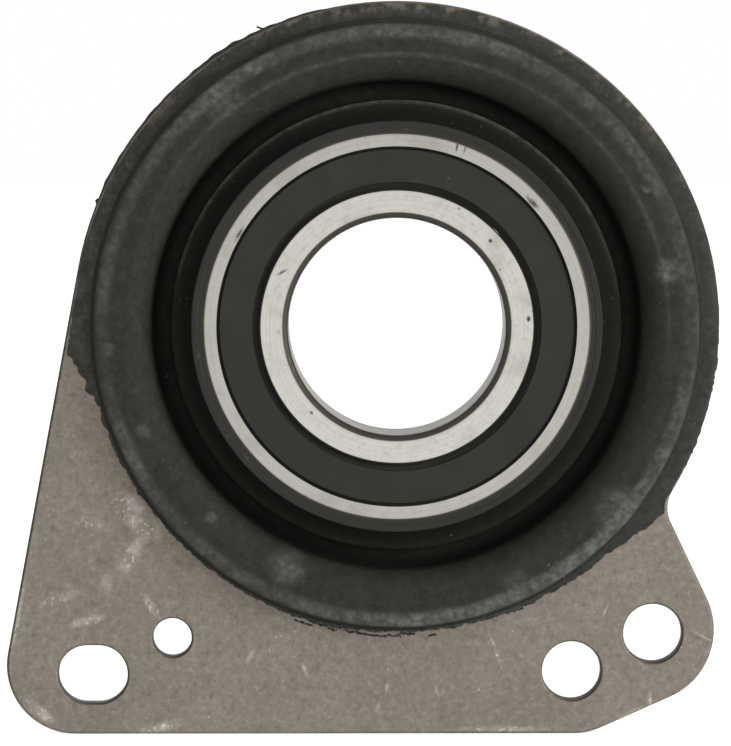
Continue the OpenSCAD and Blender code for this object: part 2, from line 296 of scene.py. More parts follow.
class Graph:
    """A node tree with short calls that add nodes and join them."""

    def __init__(self, tree: bpy.types.NodeTree) -> None:
        """Takes over a tree and empties it."""
        self.tree = tree
        self.tree.nodes.clear()

    def add(self, kind: str, **settings: object) -> bpy.types.Node:
        """Adds a node.

        Args:
            kind: Blender's name of the node.
            **settings: Attributes to set on it.

        Returns:
            The new node.
        """
        node = self.tree.nodes.new(kind)
        for name, value in settings.items():
            setattr(node, name, value)
        return node

    def feed(self, socket: Socket, value: object) -> None:
        """Joins a socket to another, or sets its constant.

        Args:
            socket: The input.
            value: An output socket, or a constant.
        """
        if isinstance(value, bpy.types.NodeSocket):
            self.tree.links.new(value, socket)
        elif isinstance(value, tuple) and socket.type == "RGBA":
            socket.default_value = (*value, 1.0)
        else:
            socket.default_value = value

    def position(self) -> Socket:
        """Object coordinates, in metres."""
        return self.add("ShaderNodeTexCoord").outputs["Object"]

    def painted(self, attribute: Paint) -> Socket:
        """A point attribute of the piece."""
        return self.add("ShaderNodeAttribute", attribute_name=attribute.value).outputs["Fac"]

    def placed(self, vector: Socket, centre: Place, turn: float, size: Place) -> Socket:
        """Moves a pattern to a place on the piece.

        Args:
            vector: Coordinates to read.
            centre: Where the pattern's origin lies.
            turn: Turn about the shaft, in degrees.
            size: Length of one pattern unit along each axis.

        Returns:
            The pattern's own coordinates.
        """
        node = self.add("ShaderNodeMapping", vector_type="TEXTURE")
        self.feed(node.inputs["Vector"], vector)
        node.inputs["Location"].default_value = centre
        node.inputs["Rotation"].default_value = (0.0, math.radians(turn), 0.0)
        node.inputs["Scale"].default_value = size
        return node.outputs["Vector"]

    def clouds(self, vector: Socket, scale: float, detail: float = 2.0, rough: float = 0.5) -> Socket:
        """Soft noise.

        Args:
            vector: Coordinates to read.
            scale: Features in each unit of the coordinates.
            detail: Number of finer layers.
            rough: Share of each finer layer.

        Returns:
            A value from 0 to 1 about 0.5.
        """
        node = self.add("ShaderNodeTexNoise")
        self.feed(node.inputs["Vector"], vector)
        node.inputs["Scale"].default_value = scale
        node.inputs["Detail"].default_value = detail
        node.inputs["Roughness"].default_value = rough
        return node.outputs["Fac"]

    def maths(self, operation: str, first: object, second: object = 0.0) -> Socket:
        """Joins two values by an operation.

        Args:
            operation: Blender's name of the operation.
            first: First value or socket.
            second: Second value or socket.

        Returns:
            The result.
        """
        node = self.add("ShaderNodeMath", operation=operation)
        self.feed(node.inputs[0], first)
        self.feed(node.inputs[1], second)
        return node.outputs["Value"]

    def band(self, value: Socket, low: float, high: float, start: float = 0.0, end: float = 1.0) -> Socket:
        """Maps a stretch of a value to another stretch, with soft ends.

        Args:
            value: The value to map.
            low: Input that gives start.
            high: Input that gives end.
            start: Output up to low.
            end: Output from high on.

        Returns:
            The mapped value.
        """
        node = self.add("ShaderNodeMapRange", interpolation_type="SMOOTHSTEP")
        self.feed(node.inputs["Value"], value)
        for name, number in (("From Min", low), ("From Max", high), ("To Min", start), ("To Max", end)):
            node.inputs[name].default_value = number
        return node.outputs["Result"]

    def layer(self, share: Socket, under: object, over: object) -> Socket:
        """Lays one colour over another.

        Args:
            share: How much of the upper colour shows.
            under: Lower colour or socket.
            over: Upper colour or socket.

        Returns:
            The mixed colour.
        """
        node = self.add("ShaderNodeMix", data_type="RGBA")
        colours = [socket for socket in node.inputs if socket.type == "RGBA"]
        self.feed(node.inputs["Factor"], share)
        self.feed(colours[0], under)
        self.feed(colours[1], over)
        return next(socket for socket in node.outputs if socket.type == "RGBA")

    def specks(self, vector: Socket, scale: float, share: float, size: float) -> Socket:
        """Scattered small spots.

        Args:
            vector: Coordinates to read.
            scale: Cells in each unit of the coordinates.
            share: Share of the cells that hold a spot.
            size: Radius of a spot in cells.

        Returns:
            A mask that is 1 on the spots.
        """
        node = self.add("ShaderNodeTexVoronoi")
        self.feed(node.inputs["Vector"], vector)
        node.inputs["Scale"].default_value = scale
        pick = self.add("ShaderNodeSeparateColor")
        self.feed(pick.inputs["Color"], node.outputs["Color"])
        chosen = self.band(pick.outputs["Red"], 1 - share, 1 - share * 0.5)
        return self.maths("MULTIPLY", chosen, self.band(node.outputs["Distance"], size, size * 0.4))

    def streaks(self, vector: Socket, turn: float, length: float, width: float, share: float) -> Socket:
        """Fine straight scratches.

        Args:
            vector: Coordinates to read.
            turn: Turn of the scratches about the shaft, in degrees.
            length: About how long they are.
            width: About how far apart their sides are.
            share: Level of the noise above which a scratch shows.

        Returns:
            A mask that is 1 on the scratches.
        """
        along = self.placed(vector, (0.0, 0.0, 0.0), turn, (length, 1.0, width))
        return self.band(self.clouds(along, 1.0, 1.0), share, share + 0.07)

    def mark(self, vector: Socket, mark: Mark, grain: Socket) -> Socket:
        """A rubbed mark that a grain breaks up.

        Args:
            vector: Coordinates to read.
            mark: Place, size and strength of the mark.
            grain: Noise that breaks it up.

        Returns:
            A mask that is strongest in the middle of the mark.
        """
        local = self.placed(vector, (mark.x, 0.0, mark.z), mark.turn, (mark.length, 1.0, mark.width))
        node = self.add("ShaderNodeTexGradient", gradient_type="SPHERICAL")
        self.feed(node.inputs["Vector"], local)
        soft = self.band(node.outputs["Fac"], 0.0, 0.8, 0.0, mark.strength)
        return self.maths("MULTIPLY", soft, grain)

    def radius(self, vector: Socket) -> Socket:
        """Distance from the shaft.

        Args:
            vector: Coordinates to read.

        Returns:
            The distance.
        """
        parts = self.add("ShaderNodeSeparateXYZ")
        self.feed(parts.inputs["Vector"], vector)
        squares = [self.maths("POWER", parts.outputs[axis], 2.0) for axis in ("X", "Z")]
        return self.maths("SQRT", self.maths("ADD", *squares))

    def height(self, vector: Socket) -> Socket:
        """Place along the shaft, which grows towards the rear.

        Args:
            vector: Coordinates to read.

        Returns:
            The place.
        """
        parts = self.add("ShaderNodeSeparateXYZ")
        self.feed(parts.inputs["Vector"], vector)
        return parts.outputs["Y"]

    def lathe(self, vector: Socket, lines: float) -> Socket:
        """Fine lines round the shaft, as turning or grinding leaves.

        Args:
            vector: Coordinates to read.
            lines: Lines in each metre of radius.

        Returns:
            Noise that only changes with the radius and the place along the shaft.
        """
        join = self.add("ShaderNodeCombineXYZ")
        self.feed(join.inputs["X"], self.radius(vector))
        self.feed(join.inputs["Y"], self.height(vector))
        return self.clouds(join.outputs["Vector"], lines, 2.0)

    def bump(self, height: Socket, depth: float, under: Socket | None = None) -> Socket:
        """Relief from a height.

        Args:
            height: Height from 0 to 1.
            depth: What a height of 1 means, in metres.
            under: Relief below this one.

        Returns:
            The normal.
        """
        node = self.add("ShaderNodeBump")
        node.inputs["Distance"].default_value = depth
        self.feed(node.inputs["Height"], height)
        if under is not None:
            self.feed(node.inputs["Normal"], under)
        return node.outputs["Normal"]


@dataclass(frozen=True)
class Finish:
    """What all finishes share: a name, a base colour and the plain values of the shader."""

    name: str
    colour: Colour
    metallic: float
    roughness: float
    specular: float = 0.5

    @cache
    def material(self) -> bpy.types.Material:
        """Builds the material, once for each finish.

        Returns:
            The material with its layers.
        """
        made = bpy.data.materials.new(self.name)
        made.use_nodes = True
        graph = Graph(made.node_tree)
        shader = graph.add("ShaderNodeBsdfPrincipled")
        shader.inputs["Metallic"].default_value = self.metallic
        shader.inputs["Roughness"].default_value = self.roughness
        shader.inputs["Specular IOR Level"].default_value = self.specular
        self.dress(graph, shader)
        output = graph.add("ShaderNodeOutputMaterial")
        graph.feed(output.inputs["Surface"], shader.outputs["BSDF"])
        return made

    def shade(self, share: float) -> Colour:
        """The base colour made lighter or darker by a share."""
        return tuple(share * part for part in self.colour)

    def grained(
        self, graph: Graph, colour: Socket, pattern: Socket, spread: float, share: float,
        tones: tuple[float, float],
    ) -> Socket:
        """Lays a light and a dark grain over a colour.

        Args:
            graph: Tree to build in.
            colour: The colour below.
            pattern: Noise about 0.5.
            spread: How far from 0.5 the grain is full.
            share: How much of the full grain shows.
            tones: Shares of the base colour in the light grain and in the dark one.

        Returns:
            The grained colour.
        """
        light, dark = tones
        colour = graph.layer(graph.band(pattern, 0.5, 0.5 + spread, 0.0, share), colour, self.shade(light))
        return graph.layer(graph.band(pattern, 0.5, 0.5 - spread, 0.0, share), colour, self.shade(dark))

    def gloss(
        self, graph: Graph, pattern: Socket, less: float, more: float, low: float = 0.0, high: float = 1.0
    ) -> Socket:
        """Roughness that follows a pattern.

        Args:
            graph: Tree to build in.
            pattern: The pattern.
            less: What the roughness loses where the pattern is low.
            more: What it gains where the pattern is high.
            low: Low level of the pattern.
            high: High level of the pattern.

        Returns:
            The roughness.
        """
        return graph.band(pattern, low, high, self.roughness - less, self.roughness + more)

    def dress(self, graph: Graph, shader: bpy.types.Node) -> None:
        """Adds the layers of the finish.

        Args:
            graph: Tree to build in.
            shader: Shader that the layers feed.
        """
        raise NotImplementedError


@dataclass(frozen=True)
class StampedSteel(Finish):
    """Bare stamped steel: dull warm grey with a fine grain, scratches, pale nicks and dusty marks.

    Depths count from the middle of the sheet: the marks lie on the front, the sheared walls are dark, and
    painted shade on the rims that face away from the key lamp starts just below both faces.
    """

    pale: Colour = screen(206, 201, 192)
    stain: Colour = screen(104, 95, 84)
    wall_and_shade_colour: Colour = screen(50, 46, 42)
    marks: tuple[Mark, ...] = ()
    marks_from: float = 0.8 * MM
    marks_full: float = 1.4 * MM
    wall_from: float = 1.35 * MM
    wall_full: float = 0.95 * MM
    shade_from: float = 1.49 * MM
    shade_full: float = 1.3 * MM

    def scratches(self, graph: Graph, place: Socket, face: Socket) -> Socket:
        """Two sets of fine scratches that show in patches.

        Args:
            graph: Tree to build in.
            place: Object coordinates.
            face: Coordinates that stay the same through the sheet.

        Returns:
            A mask that is 1 on the scratches.
        """
        patches = graph.band(graph.clouds(place, 45.0, 2.0), 0.45, 0.62)
        both = graph.maths(
            "MAXIMUM",
            graph.streaks(face, 24.0, 9 * MM, 0.22 * MM, 0.69),
            graph.streaks(face, 101.0, 7 * MM, 0.2 * MM, 0.7),
        )
        return graph.maths("MULTIPLY", both, patches)

    def nicked(self, graph: Graph, colour: Socket, face: Socket) -> Socket:
        """Lays pale nicks and small stains over a colour.

        Args:
            graph: Tree to build in.
            colour: The colour below.
            face: Coordinates that stay the same through the sheet.

        Returns:
            The nicked colour.
        """
        flecks = graph.band(graph.clouds(face, 120.0, 2.0), 0.5, 0.66)
        nicks = graph.band(graph.clouds(face, 1500.0, 3.0, 0.7), 0.62, 0.72)
        colour = graph.layer(graph.maths("MULTIPLY", nicks, flecks), colour, self.pale)
        dots = graph.specks(face, 190.0, 0.06, 0.12)
        return graph.layer(graph.maths("MULTIPLY", dots, 0.6), colour, self.stain)

    def marked(self, graph: Graph, colour: Socket, place: Socket, face: Socket) -> Socket:
        """Lays the dusty marks over the front.

        Args:
            graph: Tree to build in.
            colour: The colour below.
            place: Object coordinates.
            face: Coordinates that stay the same through the sheet.

        Returns:
            The marked colour.
        """
        front = graph.band(graph.height(place), -self.marks_from, -self.marks_full)
        haze = graph.band(graph.clouds(face, 480.0, 4.0, 0.6), 0.36, 0.68, 0.08, 0.6)
        bits = graph.band(graph.clouds(face, 1700.0, 1.0), 0.54, 0.66)
        dust = graph.maths("MAXIMUM", haze, bits)
        for mark in self.marks:
            shown = graph.maths("MULTIPLY", graph.mark(face, mark, dust), front)
            colour = graph.layer(shown, colour, self.pale)
        return colour

    def darkened_walls_and_shade(self, graph: Graph, colour: Socket, place: Socket) -> Socket:
        """Darkens the sheared walls, and paints shade on the rims that face away from the key lamp.

        Args:
            graph: Tree to build in.
            colour: The colour below.
            place: Object coordinates.

        Returns:
            The dirtied colour.
        """
        depth = graph.maths("ABSOLUTE", graph.height(place))
        wall = graph.band(depth, self.wall_from, self.wall_full, 0.0, 0.85)
        # Painted shade: the plate's point attribute is high on rims that face away from the key lamp
        below = graph.band(depth, self.shade_from, self.shade_full, 0.0, 0.95)
        painted_shade = graph.maths("MULTIPLY", graph.painted(Paint.PAINTED_SHADE), below)
        return graph.layer(graph.maths("MAXIMUM", wall, painted_shade), colour, self.wall_and_shade_colour)

    def dress(self, graph: Graph, shader: bpy.types.Node) -> None:
        """Adds clouding, grain, scratches, nicks, marks, dark walls and painted shade on the rims.

        Args:
            graph: Tree to build in.
            shader: Shader that the layers feed.
        """
        place = graph.position()
        face = graph.placed(place, (0.0, 0.0, 0.0), 0.0, THROUGH_SHEET)
        clouding = graph.band(graph.clouds(place, 60.0, 4.0, 0.6), 0.3, 0.7)
        grain = graph.clouds(place, 1500.0, 3.0, 0.65)
        colour = graph.layer(clouding, self.shade(0.93), self.shade(1.06))
        colour = self.grained(graph, colour, graph.clouds(face, 860.0, 5.0, 0.78), 0.22, 0.85, (1.5, 0.55))
        colour = self.grained(graph, colour, grain, 0.25, 0.4, (1.4, 0.6))
        scratch = self.scratches(graph, place, face)
        colour = graph.layer(graph.maths("MULTIPLY", scratch, 0.35), colour, self.pale)
        colour = self.nicked(graph, colour, face)
        colour = self.marked(graph, colour, place, face)
        graph.feed(shader.inputs["Base Color"], self.darkened_walls_and_shade(graph, colour, place))
        gloss = self.gloss(graph, graph.clouds(place, 320.0, 3.0), 0.06, 0.08, 0.3, 0.7)
        graph.feed(shader.inputs["Roughness"], gloss)
        relief = graph.bump(grain, 0.012 * MM)
        graph.feed(shader.inputs["Normal"], graph.bump(scratch, 0.01 * MM, relief))


@dataclass(frozen=True)
class MouldedRubber(Finish):
    """Moulded rubber: matte and mottled, chalky where it was rubbed, thin where steel shows through.

    The radii tell where the painted shade of the groove begins, where it is darkest, where its floor and the
    ledge get some painted light, and where the sleeve stands.
    """

    chalk_and_light: Colour = screen(120, 121, 115)
    steel: Colour = screen(118, 108, 96)
    groove_shade_specular: float = 0.03
    open_r: float = 34.6 * MM
    groove_shade_r: float = 33.6 * MM
    floor_r: float = 32.2 * MM
    ledge_r: float = 31.2 * MM
    sleeve_r: float = 29.6 * MM

    def painted_groove_shade(self, graph: Graph, colour: Socket, radius: Socket, groove_shade: Socket) -> Socket:
        """Paints shade into the groove, less on its floor and on the ledge, where painted light stands for
        the light.

        Args:
            graph: Tree to build in.
            colour: The colour below.
            radius: Distance from the shaft.
            groove_shade: A mask that is 1 inside the groove, where shade is painted.

        Returns:
            The darkened colour.
        """
        # Painted light on the groove floor and the ledge, which makes the painted shade there weaker
        lit = graph.maths(
            "MULTIPLY",
            graph.band(radius, self.groove_shade_r, self.floor_r, 0.0, 0.5),
            graph.band(radius, self.sleeve_r, self.ledge_r, 0.2, 1.0),
        )
        dark = graph.maths("MULTIPLY", groove_shade, graph.maths("SUBTRACT", 0.95, lit))
        return graph.layer(dark, colour, self.shade(0.3))

    def rubbed_and_highlit(self, graph: Graph, colour: Socket, place: Socket, grain: Socket) -> Socket:
        """Lays chalk with painted highlights, thin flash and dots of dust over a colour.

        Args:
            graph: Tree to build in.
            colour: The colour below.
            place: Object coordinates.
            grain: Noise that breaks up the chalk.

        Returns:
            The rubbed colour.
        """
        patchy = graph.band(graph.clouds(place, 420.0, 4.0, 0.65), 0.36, 0.66, 0.4, 0.95)
        grainy = graph.maths("MULTIPLY", patchy, graph.band(grain, 0.38, 0.64, 0.45, 1.0))
        chalk_and_painted_light = graph.maths("MULTIPLY", graph.painted(Paint.CHALK_AND_LIGHT), grainy)
        colour = graph.layer(chalk_and_painted_light, colour, self.chalk_and_light)
        holes = graph.band(graph.clouds(place, 350.0, 4.0, 0.7), 0.5, 0.66)
        thin = graph.maths("MULTIPLY", graph.painted(Paint.THIN), holes)
        colour = graph.layer(thin, colour, self.steel)
        dots = graph.band(graph.clouds(place, 1350.0, 3.0, 0.7), 0.66, 0.75)
        dots = graph.maths("MULTIPLY", dots, graph.band(graph.clouds(place, 95.0, 2.0), 0.48, 0.62))
        return graph.layer(graph.maths("MULTIPLY", dots, 0.8), colour, self.chalk_and_light)

    def dress(self, graph: Graph, shader: bpy.types.Node) -> None:
        """Adds mottling, painted groove shade, chalk with painted highlights, dots and steel under thin
        flash.

        Args:
            graph: Tree to build in.
            shader: Shader that the layers feed.
        """
        place = graph.position()
        radius = graph.radius(place)
        mottle = graph.band(graph.clouds(place, 160.0, 4.0, 0.6), 0.3, 0.7)
        colour = graph.layer(mottle, self.shade(0.86), self.shade(1.14))
        colour = self.grained(graph, colour, graph.clouds(place, 760.0, 5.0, 0.8), 0.16, 0.5, (1.7, 0.45))
        # Painted shade: the groove is darkened by radius towards its floor
        groove_shade = graph.band(radius, self.open_r, self.groove_shade_r)
        colour = self.painted_groove_shade(graph, colour, radius, groove_shade)
        grain = graph.clouds(place, 1100.0, 4.0, 0.7)
        graph.feed(shader.inputs["Base Color"], self.rubbed_and_highlit(graph, colour, place, grain))
        shine = graph.band(groove_shade, 0.0, 1.0, self.specular, self.groove_shade_specular)
        graph.feed(shader.inputs["Specular IOR Level"], shine)
        graph.feed(shader.inputs["Roughness"], self.gloss(graph, mottle, 0.05, 0.07))
        relief = graph.bump(graph.clouds(place, 260.0, 3.0), 0.05 * MM)
        graph.feed(shader.inputs["Normal"], graph.bump(grain, 0.02 * MM, relief))


@dataclass(frozen=True)
class GroundSteel(Finish):
    """Ground bearing steel: bright faces with fine lines round the shaft, smears and small dark pits.

    Below the faces the corners keep a dark rough skin, and the bore carries painted shade, darker and
    duller.
    """

    smear: Colour = screen(150, 146, 138)
    pit: Colour = screen(58, 50, 44)
    rough_skin: Colour = screen(70, 67, 63)
    bore_shade: Colour = screen(158, 154, 147)
    bore_metallic: float = 0.2
    bore_specular: float = 0.04
    skin_roughness: float = 0.2
    marks: tuple[Mark, ...] = ()
    face: float = 6.5 * MM
    skin_from: float = 0.004 * MM
    skin_full: float = 0.03 * MM
    bore_r: float = 15 * MM
    bore_full: float = 0.02 * MM
    bore_end: float = 0.12 * MM

    def ground(self, graph: Graph, place: Socket, lines: Socket, grain: Socket) -> Socket:
        """Colour of the ground faces.

        Args:
            graph: Tree to build in.
            place: Object coordinates.
            lines: Grinding lines.
            grain: Fine noise.

        Returns:
            The colour with lines, smears, pits and marks.
        """
        colour = graph.layer(graph.band(lines, 0.3, 0.7), self.shade(0.92), self.shade(1.05))
        colour = graph.layer(graph.band(grain, 0.45, 0.8, 0.0, 0.5), colour, self.smear)
        smears = graph.band(graph.clouds(place, 130.0, 3.0), 0.52, 0.72, 0.0, 0.55)
        colour = graph.layer(smears, colour, self.smear)
        pits = graph.specks(place, 330.0, 0.05, 0.16)
        pits = graph.maths("MAXIMUM", pits, graph.specks(place, 700.0, 0.03, 0.2))
        colour = graph.layer(graph.maths("MULTIPLY", pits, 0.85), colour, self.pit)
        for mark in self.marks:
            shown = graph.mark(place, mark, graph.band(grain, 0.3, 0.5, 0.3, 1.0))
            colour = graph.layer(shown, colour, self.pit)
        return colour

    def dress(self, graph: Graph, shader: bpy.types.Node) -> None:
        """Adds the ground faces, the rough skin of the corners and painted shade in the bore.

        Args:
            graph: Tree to build in.
            shader: Shader that the layers feed.
        """
        place = graph.position()
        radius = graph.radius(place)
        depth = graph.maths("ABSOLUTE", graph.height(place))
        lines = graph.lathe(place, 5200.0)
        grain = graph.clouds(place, 1300.0, 4.0, 0.7)
        colour = self.ground(graph, place, lines, grain)
        inside, outside = self.bore_r + self.bore_full, self.bore_r + self.bore_end
        unground = graph.maths(
            "MULTIPLY",
            graph.band(depth, self.face - self.skin_from, self.face - self.skin_full),
            graph.band(radius, inside, outside),
        )
        colour = graph.layer(unground, colour, self.rough_skin)
        # Painted shade in the bore: its wall is darkened and made less mirror-like
        bore = graph.band(radius, outside, inside)
        colour = graph.layer(graph.maths("MULTIPLY", bore, 0.7), colour, self.bore_shade)
        graph.feed(shader.inputs["Base Color"], colour)
        metallic = graph.band(bore, 0.0, 1.0, self.metallic, self.bore_metallic)
        graph.feed(shader.inputs["Metallic"], metallic)
        shine = graph.band(bore, 0.0, 1.0, self.specular, self.bore_specular)
        graph.feed(shader.inputs["Specular IOR Level"], shine)
        rough = graph.maths("MULTIPLY", unground, self.skin_roughness)
        gloss = self.gloss(graph, grain, 0.05, 0.08, 0.3, 0.7)
        graph.feed(shader.inputs["Roughness"], graph.maths("ADD", gloss, rough))
        graph.feed(shader.inputs["Normal"], graph.bump(lines, 0.004 * MM))


@dataclass(frozen=True)
class SealRubber(Finish):
    """Smooth moulded seal rubber with a satin skin and a little dust."""

    dust: Colour = screen(96, 97, 92)

    def dress(self, graph: Graph, shader: bpy.types.Node) -> None:
        """Adds faint mould lines, mottling and dust.

        Args:
            graph: Tree to build in.
            shader: Shader that the layers feed.
        """
        place = graph.position()
        mottle = graph.band(graph.clouds(place, 220.0, 4.0, 0.6), 0.3, 0.7)
        colour = graph.layer(mottle, self.shade(0.92), self.shade(1.08))
        dust = graph.maths("MULTIPLY", graph.specks(place, 420.0, 0.06, 0.14), 0.45)
        colour = graph.layer(dust, colour, self.dust)
        haze = graph.band(graph.clouds(place, 90.0, 3.0), 0.55, 0.75, 0.0, 0.12)
        graph.feed(shader.inputs["Base Color"], graph.layer(haze, colour, self.dust))
        graph.feed(shader.inputs["Roughness"], self.gloss(graph, mottle, 0.04, 0.05))
        relief = graph.bump(graph.lathe(place, 1500.0), 0.004 * MM)
        relief = graph.bump(graph.clouds(place, 1600.0, 2.0), 0.004 * MM, relief)
        graph.feed(shader.inputs["Normal"], relief)


@dataclass(frozen=True)
class CoatedSteel(Finish):
    """A thin dark coat, mottled and worn in spots, as on the sleeve and the dirt packed beside it."""

    worn: Colour = screen(122, 117, 108)

    def dress(self, graph: Graph, shader: bpy.types.Node) -> None:
        """Adds mottling and worn spots.

        Args:
            graph: Tree to build in.
            shader: Shader that the layers feed.
        """
        place = graph.position()
        mottle = graph.band(graph.clouds(place, 300.0, 4.0, 0.6), 0.3, 0.7)
        colour = graph.layer(mottle, self.shade(0.88), self.shade(1.12))
        spots = graph.band(graph.clouds(place, 520.0, 4.0, 0.75), 0.6, 0.76, 0.0, 0.45)
        graph.feed(shader.inputs["Base Color"], graph.layer(spots, colour, self.worn))
        graph.feed(shader.inputs["Roughness"], self.gloss(graph, mottle, 0.05, 0.07))
        graph.feed(shader.inputs["Normal"], graph.bump(graph.clouds(place, 1500.0, 3.0), 0.01 * MM))


@dataclass(frozen=True)
class PressedSteel(Finish):
    """Pressed cage sheet: soft satin steel with a film of grease."""

    film: Colour = screen(150, 138, 112)

    def dress(self, graph: Graph, shader: bpy.types.Node) -> None:
        """Adds drawing marks and the film of grease.

        Args:
            graph: Tree to build in.
            shader: Shader that the layers feed.
        """
        place = graph.position()
        grain = graph.clouds(place, 900.0, 3.0, 0.6)
        colour = graph.layer(graph.band(grain, 0.3, 0.7), self.shade(0.9), self.shade(1.08))
        grease = graph.band(graph.clouds(place, 240.0, 3.0), 0.45, 0.65, 0.0, 0.5)
        graph.feed(shader.inputs["Base Color"], graph.layer(grease, colour, self.film))
        graph.feed(shader.inputs["Roughness"], self.gloss(graph, grain, 0.06, 0.06, 0.3, 0.7))
        graph.feed(shader.inputs["Normal"], graph.bump(grain, 0.006 * MM))


@dataclass(frozen=True)
class PolishedSteel(Finish):
    """Lapped ball steel with a thin uneven film of oil."""

    def dress(self, graph: Graph, shader: bpy.types.Node) -> None:
        """Adds the film of oil as slight changes of colour and gloss.

        Args:
            graph: Tree to build in.
            shader: Shader that the layers feed.
        """
        place = graph.position()
        film = graph.band(graph.clouds(place, 380.0, 3.0), 0.35, 0.65)
        graph.feed(shader.inputs["Base Color"], graph.layer(film, self.shade(0.92), self.shade(1.04)))
        graph.feed(shader.inputs["Roughness"], self.gloss(graph, film, 0.0, 0.08))
        graph.feed(shader.inputs["Normal"], graph.bump(graph.clouds(place, 2400.0, 2.0), 0.001 * MM))


@dataclass(frozen=True)
class StudioWhite(Finish):
    """White card for the floor, which looks fully white to the eye and still takes a shadow."""

    lift: float = 0.78

    def dress(self, graph: Graph, shader: bpy.types.Node) -> None:
        """Adds a faint grain and the lift towards white.

        Args:
            graph: Tree to build in.
            shader: Shader that the layers feed.
        """
        place = graph.position()
        grain = graph.band(graph.clouds(place, 30.0, 3.0), 0.3, 0.7)
        graph.feed(shader.inputs["Base Color"], graph.layer(grain, self.shade(0.99), self.colour))
        shader.inputs["Emission Color"].default_value = (1.0, 1.0, 1.0, 1.0)
        lift = graph.maths("MULTIPLY", seen_directly(graph), self.lift)
        graph.feed(shader.inputs["Emission Strength"], lift)


def seen_directly(graph: Graph) -> Socket:
    """One on rays from the camera, in reflections and through glass, and nought on light for the object.

    Args:
        graph: Tree to build in.

    Returns:
        The share.
    """
    path = graph.add("ShaderNodeLightPath")
    mirrored = graph.maths("MAXIMUM", path.outputs["Is Glossy Ray"], path.outputs["Is Transmission Ray"])
    return graph.maths("MAXIMUM", path.outputs["Is Camera Ray"], mirrored)


# Place, length, width, turn and strength of each mark
PLATE_MARKS = (
    Mark(-36.4 * MM, -26.6 * MM, 6.0 * MM, 2.4 * MM, 48.0, 1.0),
    Mark(-42.3 * MM, -27.6 * MM, 2.2 * MM, 1.2 * MM, 10.0, 0.6),
    Mark(-37.0 * MM, -32.4 * MM, 4.6 * MM, 1.6 * MM, -62.0, 0.75),
    Mark(-40.4 * MM, -36.0 * MM, 2.6 * MM, 1.2 * MM, -70.0, 0.55),
    Mark(-47.0 * MM, -38.2 * MM, 4.4 * MM, 1.0 * MM, -20.0, 0.6),
    Mark(-43.2 * MM, -41.4 * MM, 3.6 * MM, 0.9 * MM, -14.0, 0.85),
    Mark(-34.2 * MM, -39.4 * MM, 2.8 * MM, 0.8 * MM, 55.0, 0.95),
    Mark(-50.0 * MM, -54.0 * MM, 3.6 * MM, 1.3 * MM, 38.0, 0.9),
    Mark(-33.0 * MM, -56.4 * MM, 4.2 * MM, 1.0 * MM, -14.0, 1.0),
    Mark(-20.4 * MM, -46.4 * MM, 1.5 * MM, 0.5 * MM, -60.0, 1.0),
    Mark(-12.8 * MM, -48.2 * MM, 1.3 * MM, 0.45 * MM, 65.0, 1.0),
    Mark(-1.4 * MM, -51.0 * MM, 1.3 * MM, 0.35 * MM, -80.0, 1.0),
    Mark(-2.6 * MM, -53.6 * MM, 1.2 * MM, 0.4 * MM, -70.0, 0.8),
    Mark(5.6 * MM, -51.0 * MM, 1.0 * MM, 0.3 * MM, 80.0, 0.8),
    Mark(13.8 * MM, -45.4 * MM, 4.0 * MM, 0.35 * MM, 70.0, 0.8),
    Mark(29.3 * MM, -39.8 * MM, 1.3 * MM, 0.24 * MM, -66.0, 1.0),
    Mark(42.4 * MM, -43.4 * MM, 2.6 * MM, 0.3 * MM, 28.0, 0.9),
    Mark(35.5 * MM, -52.4 * MM, 1.6 * MM, 0.4 * MM, -85.0, 0.9),
    Mark(15.0 * MM, -56.6 * MM, 9.0 * MM, 0.6 * MM, 0.0, 0.8),
    Mark(-53.0 * MM, -41.0 * MM, 8.0 * MM, 0.6 * MM, -79.0, 0.9),
    Mark(-50.0 * MM, -22.0 * MM, 9.0 * MM, 0.6 * MM, -79.0, 0.8),
    Mark(33.5 * MM, -54.2 * MM, 4.5 * MM, 0.6 * MM, -24.0, 0.9),
)

INNER_RING_MARKS = (
    Mark(12.9 * MM, 11.9 * MM, 0.4 * MM, 0.4 * MM, 0.0, 1.0),
    Mark(18.2 * MM, 1.1 * MM, 0.6 * MM, 0.4 * MM, 90.0, 1.0),
    Mark(-15.8 * MM, 7.6 * MM, 1.2 * MM, 0.28 * MM, -30.0, 0.8),
    Mark(-11.8 * MM, -11.9 * MM, 0.35 * MM, 0.35 * MM, 0.0, 0.9),
    Mark(-16.4 * MM, -0.7 * MM, 0.6 * MM, 0.4 * MM, 60.0, 0.35),
)

OUTER_RING_MARKS = (
    Mark(8.3 * MM, 24.9 * MM, 1.2 * MM, 0.22 * MM, -80.0, 0.9),
    Mark(9.4 * MM, 24.6 * MM, 1.0 * MM, 0.16 * MM, -70.0, 0.7),
    Mark(18.7 * MM, 17.2 * MM, 1.7 * MM, 0.5 * MM, 45.0, 0.9),
    Mark(-21.8 * MM, 12.8 * MM, 1.6 * MM, 0.4 * MM, -60.0, 0.8),
)

